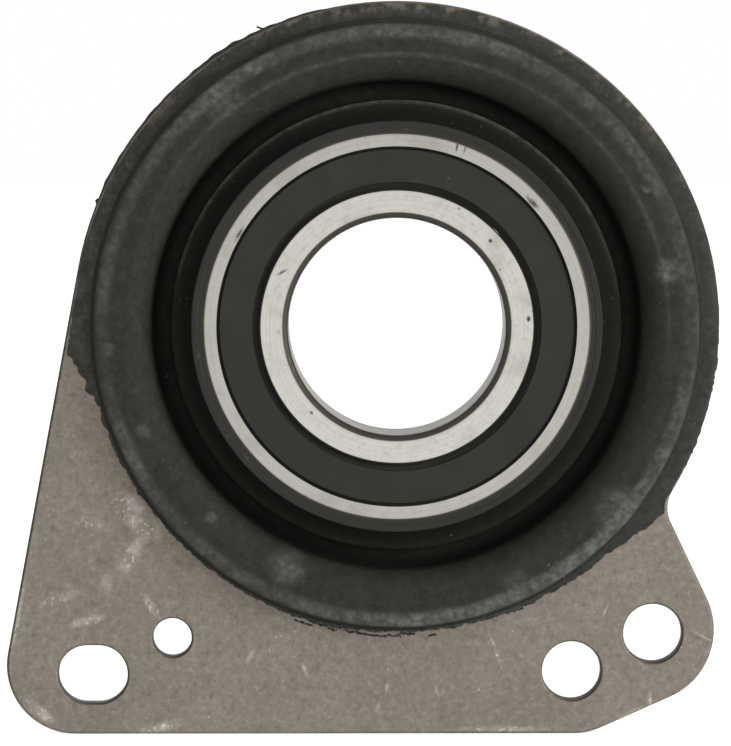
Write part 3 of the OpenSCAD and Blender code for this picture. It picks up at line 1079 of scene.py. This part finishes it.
PLATE_STEEL = StampedSteel(
    "plate_steel", screen(134, 126, 116), metallic=0.45, roughness=0.55, specular=0.3, marks=PLATE_MARKS
)
ISOLATOR_RUBBER = MouldedRubber(
    "isolator_rubber", screen(50, 51, 46), metallic=0.0, roughness=0.7, specular=0.14
)
INNER_RING_STEEL = GroundSteel(
    "ring_steel", screen(193, 191, 184), metallic=1.0, roughness=0.34, marks=INNER_RING_MARKS
)
OUTER_RING_STEEL = GroundSteel(
    "ring_steel_outer", screen(173, 171, 164), metallic=1.0, roughness=0.34, marks=OUTER_RING_MARKS
)
SEAL_RUBBER = SealRubber("seal_rubber", screen(50, 51, 46), metallic=0.0, roughness=0.55, specular=0.14)
SLEEVE_COATING = CoatedSteel(
    "sleeve_coating", screen(48, 49, 46), metallic=0.1, roughness=0.55, specular=0.15
)
PACKED_GRIME = CoatedSteel(
    "packed_grime", screen(52, 51, 46), metallic=0.0, roughness=0.7, specular=0.15, worn=screen(92, 84, 72)
)
CAGE_STEEL = PressedSteel("cage_steel", screen(190, 184, 170), metallic=1.0, roughness=0.34)
BALL_STEEL = PolishedSteel("ball_steel", screen(222, 220, 214), metallic=1.0, roughness=0.08)
FLOOR_WHITE = StudioWhite("studio_white", screen(240, 240, 238), metallic=0.0, roughness=0.8, specular=0.2)


@dataclass(frozen=True)
class Hole:
    """A hole in the foot: its middle, half the straight run of a slot, and where its rim ends."""

    x: float
    z: float
    half_run: float
    reach: float


@dataclass
class MountingPlate:
    """The stamped plate: a welded copy of its solid with eased outer edges, holes drawn in and painted
    shade.

    Painted shade lies on the walls and rims that face the given way, away from the key lamp on the right,
    and the length of that way is the shade's strength.
    """

    node: str = "mounting_plate"
    weld: float = 0.005 * MM
    flat_turn: float = 0.2
    edge_turn: float = 30.0
    ease: float = 0.2 * MM
    ease_steps: int = 3
    crease: float = 60.0
    shade_way: Vector = Vector((-1.2, 0.0, 0.9))
    draw_in: float = 0.4 * MM
    holes: tuple[Hole, ...] = (
        Hole(24.5 * MM, -48.45 * MM, 0.0, 5.4 * MM),
        Hole(35.85 * MM, -43.2 * MM, 0.0, 5.4 * MM),
        Hole(-31.3 * MM, -43.75 * MM, 0.0, 4.0 * MM),
        Hole(-42.4 * MM, -48.9 * MM, 0.8 * MM, 5.4 * MM),
    )

    def hole_offset(self, point: Vector) -> Vector | None:
        """Finds the hole that a point lies on.

        Args:
            point: A point of the plate.

        Returns:
            The way to the point from the middle line of its hole, or None away from the holes.
        """
        for hole in self.holes:
            along = min(hole.half_run, max(-hole.half_run, point.x - hole.x))
            offset = Vector((point.x - hole.x - along, 0.0, point.z - hole.z))
            if offset.length < hole.reach:
                return offset
        return None

    def is_outer_edge(self, edge: bmesh.types.BMEdge) -> bool:
        """Tells whether an edge is a stamped one, away from the holes and the opening that the rubber fills.

        Args:
            edge: An edge of the welded plate.

        Returns:
            True if it gets eased.
        """
        if not edge.is_manifold or edge.calc_face_angle() <= math.radians(self.edge_turn):
            return False
        middle = (edge.verts[0].co + edge.verts[1].co) / 2
        outside = math.hypot(middle.x, middle.z) > OPENING_R + self.ease
        return outside and self.hole_offset(middle) is None

    def build(self) -> bpy.types.Object:
        """Draws in the holes of a welded copy of the solid, eases its edges and paints shade on its rims.

        Returns:
            The plate.
        """
        mesh = bmesh.new()
        mesh.from_mesh(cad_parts[self.node].data)
        bmesh.ops.remove_doubles(mesh, verts=mesh.verts, dist=self.weld)
        bmesh.ops.dissolve_limit(
            mesh, angle_limit=math.radians(self.flat_turn), verts=mesh.verts, edges=mesh.edges
        )
        for point in mesh.verts:
            offset = self.hole_offset(point.co)
            if offset is not None:
                point.co -= self.draw_in * offset.normalized()
        edges = [edge for edge in mesh.edges if self.is_outer_edge(edge)]
        bmesh.ops.bevel(
            mesh, geom=edges, offset=self.ease, offset_type="OFFSET", segments=self.ease_steps,
            profile=0.5, affect="EDGES", clamp_overlap=True, material=-1,
        )
        mesh.normal_update()
        # Painted shade: a share for each point whose normal faces away from the key lamp on the right
        painted_shade = [min(1.0, max(0.0, point.normal.dot(self.shade_way))) for point in mesh.verts]
        piece = add_piece(mesh, "stamped_plate", PLATE_STEEL.material(), self.crease)
        paint(piece, Paint.PAINTED_SHADE, painted_shade)
        even = piece.modifiers.new("even_shading", "WEIGHTED_NORMAL")
        even.keep_sharp = True
        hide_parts(self.node)
        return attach(piece, Body.HOUSING.value)


@dataclass(frozen=True)
class Raggedness:
    """One layer of unevenness round the shaft: depth, more depth in the lower half, fineness and seed."""

    depth: float
    below: float
    waves: float
    seed: float

    def at(self, angle: float, below: float = 0.0) -> float:
        """Reads the layer.

        Args:
            angle: Angle round the shaft, in radians.
            below: 1 in the lower half, 0 in the upper one.

        Returns:
            The unevenness, in the unit of the depth.
        """
        return (self.depth + self.below * below) * turned_noise(angle, self.waves, self.seed)


@dataclass(frozen=True)
class RubbedSpot:
    """A round chalky spot on the rubber: its middle, its reach and its strength."""

    x: float
    z: float
    reach: float
    strength: float


RUBBED_SPOTS = (
    RubbedSpot(-15.2 * MM, -33.4 * MM, 3.4 * MM, 0.8),
    RubbedSpot(16.6 * MM, -35.6 * MM, 2.2 * MM, 0.5),
    RubbedSpot(31.0 * MM, -25.6 * MM, 4.5 * MM, 0.6),
    RubbedSpot(-24.6 * MM, 32.3 * MM, 4.8 * MM, 0.45),
    RubbedSpot(37.6 * MM, 7.7 * MM, 2.4 * MM, 0.7),
    RubbedSpot(26.2 * MM, 31.2 * MM, 1.6 * MM, 0.6),
    RubbedSpot(34.5 * MM, 18.9 * MM, 0.6 * MM, 1.0),
    RubbedSpot(-35.1 * MM, -14.5 * MM, 1.3 * MM, 0.7),
    RubbedSpot(-25.7 * MM, -26.6 * MM, 1.1 * MM, 0.6),
    RubbedSpot(-39.9 * MM, -3.1 * MM, 1.2 * MM, 0.6),
)


@dataclass
class RubberIsolator:
    """The bonded rubber moulding: flange, pad, shoulder, groove, ledge and the fold at the back."""

    node: str = "rubber_isolator"
    bond: float = 0.02 * MM
    grip: float = 0.06 * MM
    flange_r: float = 42.7 * MM
    flange_t: float = 0.7 * MM
    pad_r: float = 41.95 * MM
    edge_r: float = 0.35 * MM
    foot_r: float = 0.7 * MM
    rim_r: float = 0.6 * MM
    shoulder_r: float = 4.3 * MM
    groove_r: float = 34 * MM
    groove_floor: float = -2.3 * MM
    fold_r: float = 0.9 * MM
    ledge_r: float = 31.33 * MM
    ledge_top: float = 3.2 * MM
    ledge_rim: float = 1.9 * MM
    ledge_edge_r: float = 0.35 * MM
    back_r: float = 1.8 * MM
    seam_r: float = 37.65 * MM
    seam_h: float = 0.09 * MM
    seam_w: float = 0.3 * MM
    wave_h: float = 0.05 * MM
    wave_scale: float = 130.0
    ripple_h: float = 0.02 * MM
    ripple_scale: float = 420.0
    sag_w: float = 0.8 * MM
    sag: tuple[Raggedness, ...] = (
        Raggedness(0.07 * MM, 0.0, 9.0, 3.1),
        Raggedness(0.05 * MM, 0.0, 31.0, 7.7),
    )
    crown_from: float = 1.2 * MM
    crown_full: float = 0.3 * MM
    rubbed_rise: tuple[float, float] = (39.5 * MM, 40.5 * MM)
    rubbed_fall: tuple[float, float] = (42.05 * MM, 41.6 * MM)
    rubbed_level: float = 0.52
    rubbed_sides: float = 0.2
    rubbed_patches: Raggedness = Raggedness(0.35, 0.0, 3.0, 1.3)
    rubbed_corner: float = math.radians(302)
    rubbed_corner_w: float = math.radians(45)
    rubbed_corner_gain: float = 0.4
    least_rubbed: float = 0.05
    off_crown: float = 0.6
    seam_highlight: float = 0.35
    ledge_highlight: float = 1.2
    ledge_band: float = 0.1 * MM
    ledge_band_w: float = 0.3 * MM
    spot_core: float = 0.3
    spots_rise: tuple[float, float] = (1 * MM, 3 * MM)
    spacing: float = 0.5 * MM
    steps: int = 480
    crease: float = 50.0

    def corners(self) -> list[tuple[float, float, float]]:
        """Half section as corners of radius, reach to the front and rounding.

        Returns:
            The corners, from the sleeve at the rear round to the sleeve at the front.
        """
        sleeve_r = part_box("bearing_sleeve")[1].x - self.grip
        wall_r = OPENING_R - self.bond
        plate_front = front_of("mounting_plate")
        plate_rear = rear_of("mounting_plate")
        rear = rear_of(self.node)
        top = front_of(self.node)
        return [
            (sleeve_r, rear, 0.0),
            (self.groove_r - self.fold_r, rear, self.back_r),
            (wall_r, plate_rear, 0.0),
            (wall_r, plate_front, 0.0),
            (self.flange_r, plate_front, 0.0),
            (self.flange_r, plate_front + self.flange_t, self.edge_r),
            (self.pad_r, plate_front + self.flange_t, self.foot_r),
            (self.pad_r, top, self.rim_r),
            (self.groove_r, top, self.shoulder_r),
            (self.groove_r, self.groove_floor, self.fold_r),
            (self.ledge_r, self.groove_floor, self.ledge_edge_r),
            (self.ledge_r, self.ledge_rim, self.ledge_edge_r),
            (sleeve_r, self.ledge_top, 0.0),
        ]

    def section(self, mesh: bmesh.types.BMesh) -> None:
        """Draws the rounded half section as a closed wire in the XY plane.

        Args:
            mesh: Mesh to draw in.
        """
        corners = self.corners()
        points = [mesh.verts.new((radius, -front, 0.0)) for radius, front, _ in corners]
        join_ring(mesh, points)
        for point, (_, _, rounding) in zip(points, corners):
            if rounding:
                self.round_corner(mesh, point, rounding)
        for edge in mesh.edges[:]:
            cuts = int(edge.calc_length() / self.spacing)
            if cuts:
                bmesh.ops.subdivide_edges(mesh, edges=[edge], cuts=cuts)

    def round_corner(self, mesh: bmesh.types.BMesh, point: bmesh.types.BMVert, rounding: float) -> None:
        """Rounds one corner of the section.

        Args:
            mesh: Mesh of the section.
            point: The corner.
            rounding: Radius of the rounding.
        """
        arms = [edge.other_vert(point).co - point.co for edge in point.link_edges]
        half = arms[0].angle(arms[1]) / 2
        arc = rounding * (math.pi - 2 * half)
        bmesh.ops.bevel(
            mesh, geom=[point], offset=rounding / math.tan(half), offset_type="OFFSET",
            segments=max(3, int(arc / self.spacing * 2)), profile=0.5, affect="VERTICES", material=-1,
        )

    def settle(self, point: Vector) -> Vector:
        """Moves a point of the smooth turned form to where the worn moulding has it.

        Args:
            point: A point of the turned form.

        Returns:
            Its place on the real moulding.
        """
        radius, angle, front = round_shaft(point)
        plate_front = front_of("mounting_plate")
        on_front = smooth_step(plate_front, plate_front + self.flange_t, front)
        upper = smooth_step(-0.2, 0.35, math.sin(angle))
        seam = self.seam_h * bump_curve(self.seam_r, self.seam_w, radius) * upper
        waves = self.wave_h * noise.noise(point * self.wave_scale)
        waves += self.ripple_h * noise.noise(point * self.ripple_scale)
        rim = on_front * smooth_step(self.pad_r - self.sag_w, self.pad_r, radius)
        sag = rim * sum(layer.at(angle) for layer in self.sag)
        return at_shaft(radius + sag, angle, front + on_front * (seam + waves))

    def rubbing_and_highlights(self, point: Vector) -> float:
        """How chalky the rubber is at a point, with painted highlights on the ledge edge and the seam added.

        Args:
            point: A point of the moulding.

        Returns:
            A share from 0 to 1.
        """
        radius, angle, front = round_shaft(point)
        crown = front_of(self.node)
        top = smooth_step(crown - self.crown_from, crown - self.crown_full, front)
        band = smooth_step(*self.rubbed_rise, radius) * smooth_step(*self.rubbed_fall, radius)
        worn = self.rubbed_level - self.rubbed_sides * math.cos(2 * angle) + self.rubbed_patches.at(angle)
        worn += self.rubbed_corner_gain * bump_curve(self.rubbed_corner, self.rubbed_corner_w, angle)
        # Painted highlight on the rounded edge of the ledge, in the upper half only
        ledge = bump_curve(self.ledge_r - self.ledge_band, self.ledge_band_w, radius)
        ledge *= smooth_step(0.0, 0.6, math.sin(angle)) * (front > self.groove_floor + MM)
        # Painted highlight along the seam ridge, strongest towards the upper right
        seam = bump_curve(self.seam_r, 2 * self.seam_w, radius)
        seam *= smooth_step(0.1, 0.5, math.sin(angle + 0.3))
        share = band * max(self.least_rubbed, worn) + self.seam_highlight * seam + self.ledge_highlight * ledge
        raised = smooth_step(*self.spots_rise, front)
        for spot in RUBBED_SPOTS:
            away = math.hypot(point.x - spot.x, point.z - spot.z)
            share += spot.strength * raised * smooth_step(spot.reach, self.spot_core * spot.reach, away)
        return min(1.0, share * max(top, self.off_crown))

    def build(self) -> bpy.types.Object:
        """Turns the section round the shaft and wears it.

        Returns:
            The moulding.
        """
        mesh = bmesh.new()
        self.section(mesh)
        turn_full(mesh, self.steps)
        for point in mesh.verts:
            point.co = self.settle(point.co)
        chalk_and_light = [self.rubbing_and_highlights(point.co) for point in mesh.verts]
        piece = add_piece(mesh, "moulded_isolator", ISOLATOR_RUBBER.material(), self.crease)
        paint(piece, Paint.CHALK_AND_LIGHT, chalk_and_light)
        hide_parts(self.node)
        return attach(piece, Body.HOUSING.value)


# Torn edge of the flash as angles in degrees and radii in millimetres, with soft steps between them
TORN_EDGE = (
    (0, 44.95), (30, 44.9), (60, 44.75), (150, 44.6), (172, 44.7), (178, 45.1), (182, 45.6),
    (184.9, 45.9), (186.2, 45.3), (188.7, 44.5), (190.3, 43.8), (191.8, 44.5), (193.6, 43.2), (196, 43.0),
    (230, 42.85), (250, 43.15), (275, 42.95), (296, 43.3), (309, 43.45), (318, 44.2), (321, 45.1),
    (325, 45.55), (327.5, 45.1), (330, 44.95), (345, 44.97), (360, 44.95),
)


@dataclass
class FlashSkirt:
    """The thin film of flash on the front of the plate, from under the pad out to its torn edge.

    The tears are in millimetres, as the torn edge is. The film follows the plate's round rim from rim_right
    to rim_left, which are soft steps in radians.
    """

    root_r: float = 41.4 * MM
    thickness: float = 0.28 * MM
    sink: float = 0.01 * MM
    edge_from: float = 0.6
    edge_thinning: float = 0.55
    wave_h: float = 0.03 * MM
    wave_scale: float = 500.0
    roll_r: float = 44.45 * MM
    roll_bend: float = 0.35 * MM
    rim_right: tuple[float, float] = (-0.58, -0.5)
    rim_left: tuple[float, float] = (3.0, 2.93)
    tears: tuple[Raggedness, ...] = (
        Raggedness(0.1, 0.0, 12.0, 5.2),
        Raggedness(0.05, 0.2, 27.0, 8.4),
        Raggedness(0.02, 0.2, 80.0, 2.6),
        Raggedness(0.0, 0.22, 140.0, 3.3),
    )
    thin_from: float = 0.45
    thin_full: float = 0.95
    least_chalk: float = 0.2
    left_painted_light: float = 0.25
    painted_light_turn: float = 0.6
    steps: int = 1080
    across: int = 9
    crease: float = 50.0

    def edge_radius(self, angle: float) -> float:
        """Radius of the torn edge, which stays inside the plate's side.

        Args:
            angle: Angle round the shaft, in radians.

        Returns:
            The radius in metres.
        """
        degrees = math.degrees(angle) % 360
        spans = zip(TORN_EDGE, TORN_EDGE[1:])
        (start, low), (end, high) = next(span for span in spans if span[0][0] <= degrees <= span[1][0])
        edge = low + (high - low) * smooth_step(start, end, degrees)
        below = smooth_step(0.25, -0.25, math.sin(angle))
        edge += sum(tear.at(angle, below) for tear in self.tears)
        side = (CAD_BOX[1].x - self.sink) / max(0.1, math.cos(angle))
        return min(side, edge * MM)

    def over_rim(self, angle: float) -> float:
        """How far the film follows the round rim of the plate.

        Args:
            angle: Angle round the shaft, in radians.

        Returns:
            1 along the round rim, and 0 along the foot.
        """
        if math.cos(angle) > 0:
            return smooth_step(*self.rim_right, math.remainder(angle, FULL_TURN))
        return smooth_step(*self.rim_left, angle)

    def section(self, mesh: bmesh.types.BMesh, base: float) -> None:
        """Draws the section of the film as a closed wire.

        Args:
            mesh: Mesh to draw in.
            base: Underside of the film, as a reach to the front.
        """
        top = base + self.thickness
        corners = [(self.root_r, base), (PLATE_RIM_R, base), (PLATE_RIM_R, top), (self.root_r, top)]
        edges = join_ring(mesh, [mesh.verts.new((radius, -front, 0.0)) for radius, front in corners])
        long = [edge for edge in edges if edge.calc_length() > MM]
        bmesh.ops.subdivide_edges(mesh, edges=long, cuts=self.across)

    def build(self) -> bpy.types.Object:
        """Turns the section round the shaft and tears its edge.

        Returns:
            The skirt.
        """
        base = front_of("mounting_plate") - self.sink
        mesh = bmesh.new()
        self.section(mesh, base)
        turn_full(mesh, self.steps)
        thin, chalk_and_light = [], []
        for point in mesh.verts:
            radius, angle, front = round_shaft(point.co)
            share = (radius - self.root_r) / (PLATE_RIM_R - self.root_r)
            reach = self.root_r + share * (self.edge_radius(angle) - self.root_r)
            rise = (front - base) * (1 - self.edge_thinning * smooth_step(self.edge_from, 1.0, share))
            rise += self.wave_h * noise.noise(point.co * self.wave_scale) * (front > base)
            drop = self.over_rim(angle) * max(0.0, reach - self.roll_r) ** 2 / (2 * self.roll_bend)
            point.co = at_shaft(reach, angle, base + rise - drop)
            thin.append(smooth_step(self.thin_from, self.thin_full, share) * max(0.0, math.sin(angle)))
            # Painted light: the lower left of the film, away from the key lamp, is lifted towards chalk over
            # an even share of chalk
            chalk_and_painted_light = smooth_step(0.2, -0.6, math.cos(angle - self.painted_light_turn))
            chalk_and_light.append(self.least_chalk + self.left_painted_light * chalk_and_painted_light)
        piece = add_piece(mesh, "flash_skirt", ISOLATOR_RUBBER.material(), self.crease)
        paint(piece, Paint.THIN, thin)
        paint(piece, Paint.CHALK_AND_LIGHT, chalk_and_light)
        return piece


@dataclass
class FlashRimSkin:
    """The skin of rubber that ran over the rim of the plate at the upper left."""

    start: float = math.radians(99)
    end: float = math.radians(160)
    fade: float = 0.12
    bite: float = 0.05 * MM
    thickness: float = 0.3 * MM
    least: float = 0.06
    usual: float = 0.45
    bulges: tuple[Raggedness, ...] = (
        Raggedness(0.28, 0.0, 34.0, 4.4),
        Raggedness(0.35, 0.0, 13.0, 9.1),
    )
    top: float = 1.05 * MM
    low: float = -1.3 * MM
    slope: float = 0.2 * MM
    fray: Raggedness = Raggedness(0.3 * MM, 0.0, 30.0, 6.6)
    nub: float = math.radians(157.5)
    nub_w: float = 0.012
    lump: float = math.radians(121)
    lump_w: float = math.radians(13)
    lump_gain: float = 1.4
    steps: int = 240
    crease: float = 50.0

    def swelling(self, angle: float) -> float:
        """How thick the skin is at an angle.

        Args:
            angle: Angle round the shaft, in radians.

        Returns:
            The thickness as a share of the full one.
        """
        ends = smooth_step(self.start, self.start + self.fade, angle)
        ends *= smooth_step(self.end, self.end - self.fade, angle)
        bulge = self.usual + sum(layer.at(angle) for layer in self.bulges)
        lump = 1 + self.lump_gain * bump_curve(self.lump, self.lump_w, angle)
        return max(self.least, ends * bulge * lump + bump_curve(self.nub, self.nub_w, angle))

    def build(self) -> bpy.types.Object:
        """Turns a strip along the rim and makes it uneven.

        Returns:
            The skin.
        """
        inner, outer = PLATE_RIM_R - self.bite, PLATE_RIM_R + self.thickness
        corners = (
            (inner, self.low),
            (outer, self.low + self.slope),
            (outer, self.top - self.slope),
            (inner, self.top),
        )
        mesh = bmesh.new()
        points = [mesh.verts.new(at_shaft(radius, self.start, front)) for radius, front in corners]
        bmesh.ops.subdivide_edges(mesh, edges=join_ring(mesh, points), cuts=2)
        bmesh.ops.spin(
            mesh, geom=mesh.verts[:] + mesh.edges[:], cent=(0.0, 0.0, 0.0), axis=-SHAFT,
            angle=self.end - self.start, steps=self.steps,
        )
        close_ends(mesh)
        for point in mesh.verts:
            radius, angle, front = round_shaft(point.co)
            reach = inner + (radius - inner) * self.swelling(angle)
            torn = self.fray.at(angle) * smooth_step(self.top, self.low, front)
            point.co = at_shaft(reach, angle, front + torn)
        return add_piece(mesh, "flash_rim_skin", ISOLATOR_RUBBER.material(), self.crease)


@dataclass
class FlashWhisker:
    """A short strand of flash that stands off the rim."""

    bite: float = 0.15 * MM
    angle: float = math.radians(113.6)
    front: float = 0.6 * MM
    strand_r: float = 0.13 * MM
    sides: int = 10
    bend_r: float = 3.2 * MM
    sweep: float = math.radians(27)
    steps: int = 10
    crease: float = 50.0

    def build(self) -> bpy.types.Object:
        """Sweeps a small circle along the bend of the strand.

        Returns:
            The whisker.
        """
        root = at_shaft(PLATE_RIM_R - self.bite, self.angle, self.front)
        mesh = bmesh.new()
        stand = Matrix.Translation(root) @ Matrix.Rotation(math.radians(90), 4, "Y")
        bmesh.ops.create_circle(mesh, segments=self.sides, radius=self.strand_r, matrix=stand)
        bmesh.ops.spin(
            mesh, geom=mesh.verts[:] + mesh.edges[:], cent=root + Vector((0.0, 0.0, self.bend_r)),
            axis=SHAFT, angle=self.sweep, steps=self.steps,
        )
        close_ends(mesh)
        return add_piece(mesh, "flash_whisker", ISOLATOR_RUBBER.material(), self.crease)


@dataclass
class FlashCrumbs:
    """Loose crumbs of flash that stick to the plate in short rows below the isolator.

    The spread is the lowest, the highest and the likeliest angle of a row, and it and the spacing are in
    degrees.
    """

    seed: int = 11
    rows: int = 16
    longest_row: int = 9
    spread: tuple[float, float, float] = (226.0, 306.0, 264.0)
    spacing: float = 0.42
    near_r: float = 43.2 * MM
    far_r: float = 43.7 * MM
    stray: float = 0.1 * MM
    length: float = 0.3 * MM
    height: float = 0.07 * MM
    widths: tuple[float, float] = (0.06 * MM, 0.17 * MM)
    tilt: float = 0.5
    lumps: float = 0.6
    lump_scale: float = 1.7
    place_scale: float = 4000.0
    crease: float = 50.0

    def add_crumb(self, mesh: bmesh.types.BMesh, chance: Random, radius: float, angle: float) -> None:
        """Adds one lumpy crumb.

        Args:
            mesh: Mesh to add it to.
            chance: Source of the uneven sizes.
            radius: Distance of its row from the shaft.
            angle: Angle round the shaft, in radians.
        """
        stray = chance.uniform(-self.stray, self.stray)
        place = at_shaft(radius + stray, angle, front_of("mounting_plate"))
        size = Matrix.Diagonal((self.length, self.height, chance.uniform(*self.widths), 1.0))
        lie = Matrix.Rotation(-angle - math.pi / 2 + chance.uniform(-self.tilt, self.tilt), 4, SHAFT)
        points = bmesh.ops.create_icosphere(mesh, subdivisions=2, radius=1.0)["verts"]
        for point in points:
            spot = point.co * self.lump_scale + place * self.place_scale
            point.co *= 1 + self.lumps * noise.noise(spot)
        bmesh.ops.transform(mesh, verts=points, matrix=Matrix.Translation(place) @ lie @ size)

    def build(self) -> bpy.types.Object:
        """Scatters the rows of crumbs.

        Returns:
            The crumbs.
        """
        chance = Random(self.seed)
        mesh = bmesh.new()
        for _ in range(self.rows):
            start = chance.triangular(*self.spread)
            radius = chance.uniform(self.near_r, self.far_r)
            for step in range(chance.randint(1, self.longest_row)):
                self.add_crumb(mesh, chance, radius, math.radians(start + self.spacing * step))
        return add_piece(mesh, "flash_crumbs", ISOLATOR_RUBBER.material(), self.crease)


@dataclass
class RubberFlash:
    """All the thin torn flash that the mould left round the isolator."""

    kinds: tuple[type, ...] = (FlashSkirt, FlashRimSkin, FlashWhisker, FlashCrumbs)

    def build(self) -> list[bpy.types.Object]:
        """Makes all the flash and lets it ride on the housing.

        Returns:
            The pieces of flash.
        """
        pieces = [kind().build() for kind in self.kinds]
        for piece in pieces:
            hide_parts("rubber_isolator")
            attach(piece, Body.HOUSING.value)
        return pieces


@dataclass
class SealLips:
    """The soft tips of both seals, which reach in to the inner ring and leave no gap to look through."""

    tip_r: float = 19.06 * MM
    root_r: float = 19.6 * MM
    depth: float = 5.08 * MM
    thickness: float = 0.2 * MM
    steps: int = 256
    crease: float = 40.0

    def build(self) -> bpy.types.Object:
        """Turns the tips round the shaft, one at each side.

        Returns:
            Both tips as one piece.
        """
        half = self.thickness / 2
        corners = ((self.tip_r, 0.0), (self.root_r, half), (self.root_r, -half))
        mesh = bmesh.new()
        for side in (self.depth, -self.depth):
            join_ring(mesh, [mesh.verts.new((radius, rise - side, 0.0)) for radius, rise in corners])
        turn_full(mesh, self.steps)
        piece = add_piece(mesh, "seal_lips", SEAL_RUBBER.material(), self.crease)
        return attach(piece, Body.HOUSING.value)


@dataclass
class PackedGrime:
    """Old dirt that fills the gaps between the outer ring's rounded corners and the sleeve."""

    inner_r: float = 26.9 * MM
    outer_r: float = 27.56 * MM
    crest: float = 6.42 * MM
    foot: float = 5.7 * MM
    steps: int = 256
    crease: float = 40.0

    def build(self) -> bpy.types.Object:
        """Turns the fill round the shaft, one at each side.

        Returns:
            Both fills as one piece.
        """
        corners = ((self.inner_r, self.crest), (self.outer_r, self.crest), (self.outer_r, self.foot))
        mesh = bmesh.new()
        for side in (-1.0, 1.0):
            join_ring(mesh, [mesh.verts.new((radius, side * place, 0.0)) for radius, place in corners])
        turn_full(mesh, self.steps)
        piece = add_piece(mesh, "packed_grime", PACKED_GRIME.material(), self.crease)
        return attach(piece, Body.HOUSING.value)


@dataclass
class BallBearing:
    """The sealed bearing in its sleeve, whose solids stay as they are and get their finishes."""

    balls: int = 11

    def finishes(self) -> dict[str, Finish]:
        """Pairs every node of the bearing with its finish.

        Returns:
            The finish of each node, by the node's name.
        """
        table: dict[str, Finish] = {
            "bearing_sleeve": SLEEVE_COATING,
            "outer_ring": OUTER_RING_STEEL,
            "inner_ring": INNER_RING_STEEL,
            "front_seal": SEAL_RUBBER,
            "rear_seal": SEAL_RUBBER,
            "cage_front": CAGE_STEEL,
            "cage_rear": CAGE_STEEL,
            "cage_rivets": CAGE_STEEL,
        }
        table.update({f"ball_{number:02d}": BALL_STEEL for number in range(1, self.balls + 1)})
        return table

    def dress(self) -> list[bpy.types.Object]:
        """Gives every node its finish.

        Returns:
            The dressed nodes.
        """
        table = self.finishes()
        for node, finish in table.items():
            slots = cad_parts[node].data.materials
            slots.clear()
            slots.append(finish.material())
        return [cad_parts[node] for node in table]


@dataclass(frozen=True)
class Lamp:
    """A square soft lamp: its place, its side, its power in watts, and whether metal mirrors it."""

    name: str
    place: Place
    size: float
    power: float
    mirrored: bool


@dataclass
class Studio:
    """White floor, white surroundings, soft lamps and the camera."""

    target: Vector = Vector((-4.3 * MM, -1.5 * MM, -6.7 * MM))
    azimuth: float = -0.38
    elevation: float = 3.63
    distance: float = 0.7
    lens: float = 243.0
    floor_size: float = 6.0
    floor_cells: int = 12
    floor_crease: float = 30.0
    fill: float = 0.34
    lamps: tuple[Lamp, ...] = (
        Lamp("key_lamp", (0.75, -0.5, 0.1), 0.5, 5.4, True),
        Lamp("front_lamp", (0.1, -1.1, 0.12), 0.9, 4.1, False),
    )

    def floor(self) -> bpy.types.Object:
        """The floor that the foot of the plate stands on.

        Returns:
            The floor.
        """
        mesh = bmesh.new()
        level = Matrix.Translation((0.0, 0.0, CAD_BOX[0].z))
        bmesh.ops.create_grid(
            mesh, x_segments=self.floor_cells, y_segments=self.floor_cells,
            size=self.floor_size / 2, matrix=level,
        )
        floor = add_piece(mesh, "studio_floor", FLOOR_WHITE.material(), self.floor_crease)
        return floor

    def surroundings(self) -> None:
        """Lights the object evenly from a white room that looks fully white."""
        world = bpy.data.worlds.new("white_room")
        world.use_nodes = True
        graph = Graph(world.node_tree)
        room = graph.add("ShaderNodeBackground")
        room.inputs["Color"].default_value = (1.0, 1.0, 1.0, 1.0)
        level = graph.maths("MULTIPLY", seen_directly(graph), 1 - self.fill)
        graph.feed(room.inputs["Strength"], graph.maths("ADD", level, self.fill))
        output = graph.add("ShaderNodeOutputWorld")
        graph.feed(output.inputs["Surface"], room.outputs["Background"])
        bpy.context.scene.world = world

    def hang(self, lamp: Lamp) -> bpy.types.Object:
        """Hangs a lamp that looks at the object.

        Args:
            lamp: The lamp to hang.

        Returns:
            The lamp's object.
        """
        light = bpy.data.lights.new(lamp.name, "AREA")
        light.size = lamp.size
        light.energy = lamp.power
        hung = bpy.data.objects.new(lamp.name, light)
        hung.location = lamp.place
        hung.rotation_euler = (self.target - Vector(lamp.place)).to_track_quat("-Z", "Y").to_euler()
        hung.visible_glossy = lamp.mirrored
        bpy.context.scene.collection.objects.link(hung)
        return hung

    def camera(self) -> bpy.types.Object:
        """The camera, a little above the part and looking at its middle.

        Returns:
            The camera.
        """
        lens = bpy.data.cameras.new("camera")
        lens.lens = self.lens
        across, above = math.tan(math.radians(self.azimuth)), math.tan(math.radians(self.elevation))
        camera = bpy.data.objects.new("camera", lens)
        camera.location = self.target + self.distance * Vector((across, -1.0, above))
        camera.rotation_euler = (self.target - camera.location).to_track_quat("-Z", "Y").to_euler()
        bpy.context.scene.collection.objects.link(camera)
        bpy.context.scene.camera = camera
        return camera

    def build(self) -> None:
        """Sets up the whole studio."""
        self.surroundings()
        self.camera()
        self.floor()
        for lamp in self.lamps:
            self.hang(lamp)
        bpy.context.scene.view_settings.view_transform = "Standard"


def main() -> None:
    """Builds the studio and every piece in order, and reports each."""
    logging.basicConfig(level=logging.INFO, format="%(name)s: %(message)s")
    Studio().build()
    pieces = [MountingPlate().build(), RubberIsolator().build()]
    pieces += RubberFlash().build()
    pieces += [SealLips().build(), PackedGrime().build()]
    pieces += BallBearing().dress()
    for piece in pieces:
        LOG.info("%s: %d faces", piece.name, len(piece.data.polygons))


if __name__ == "__main__":
    main()
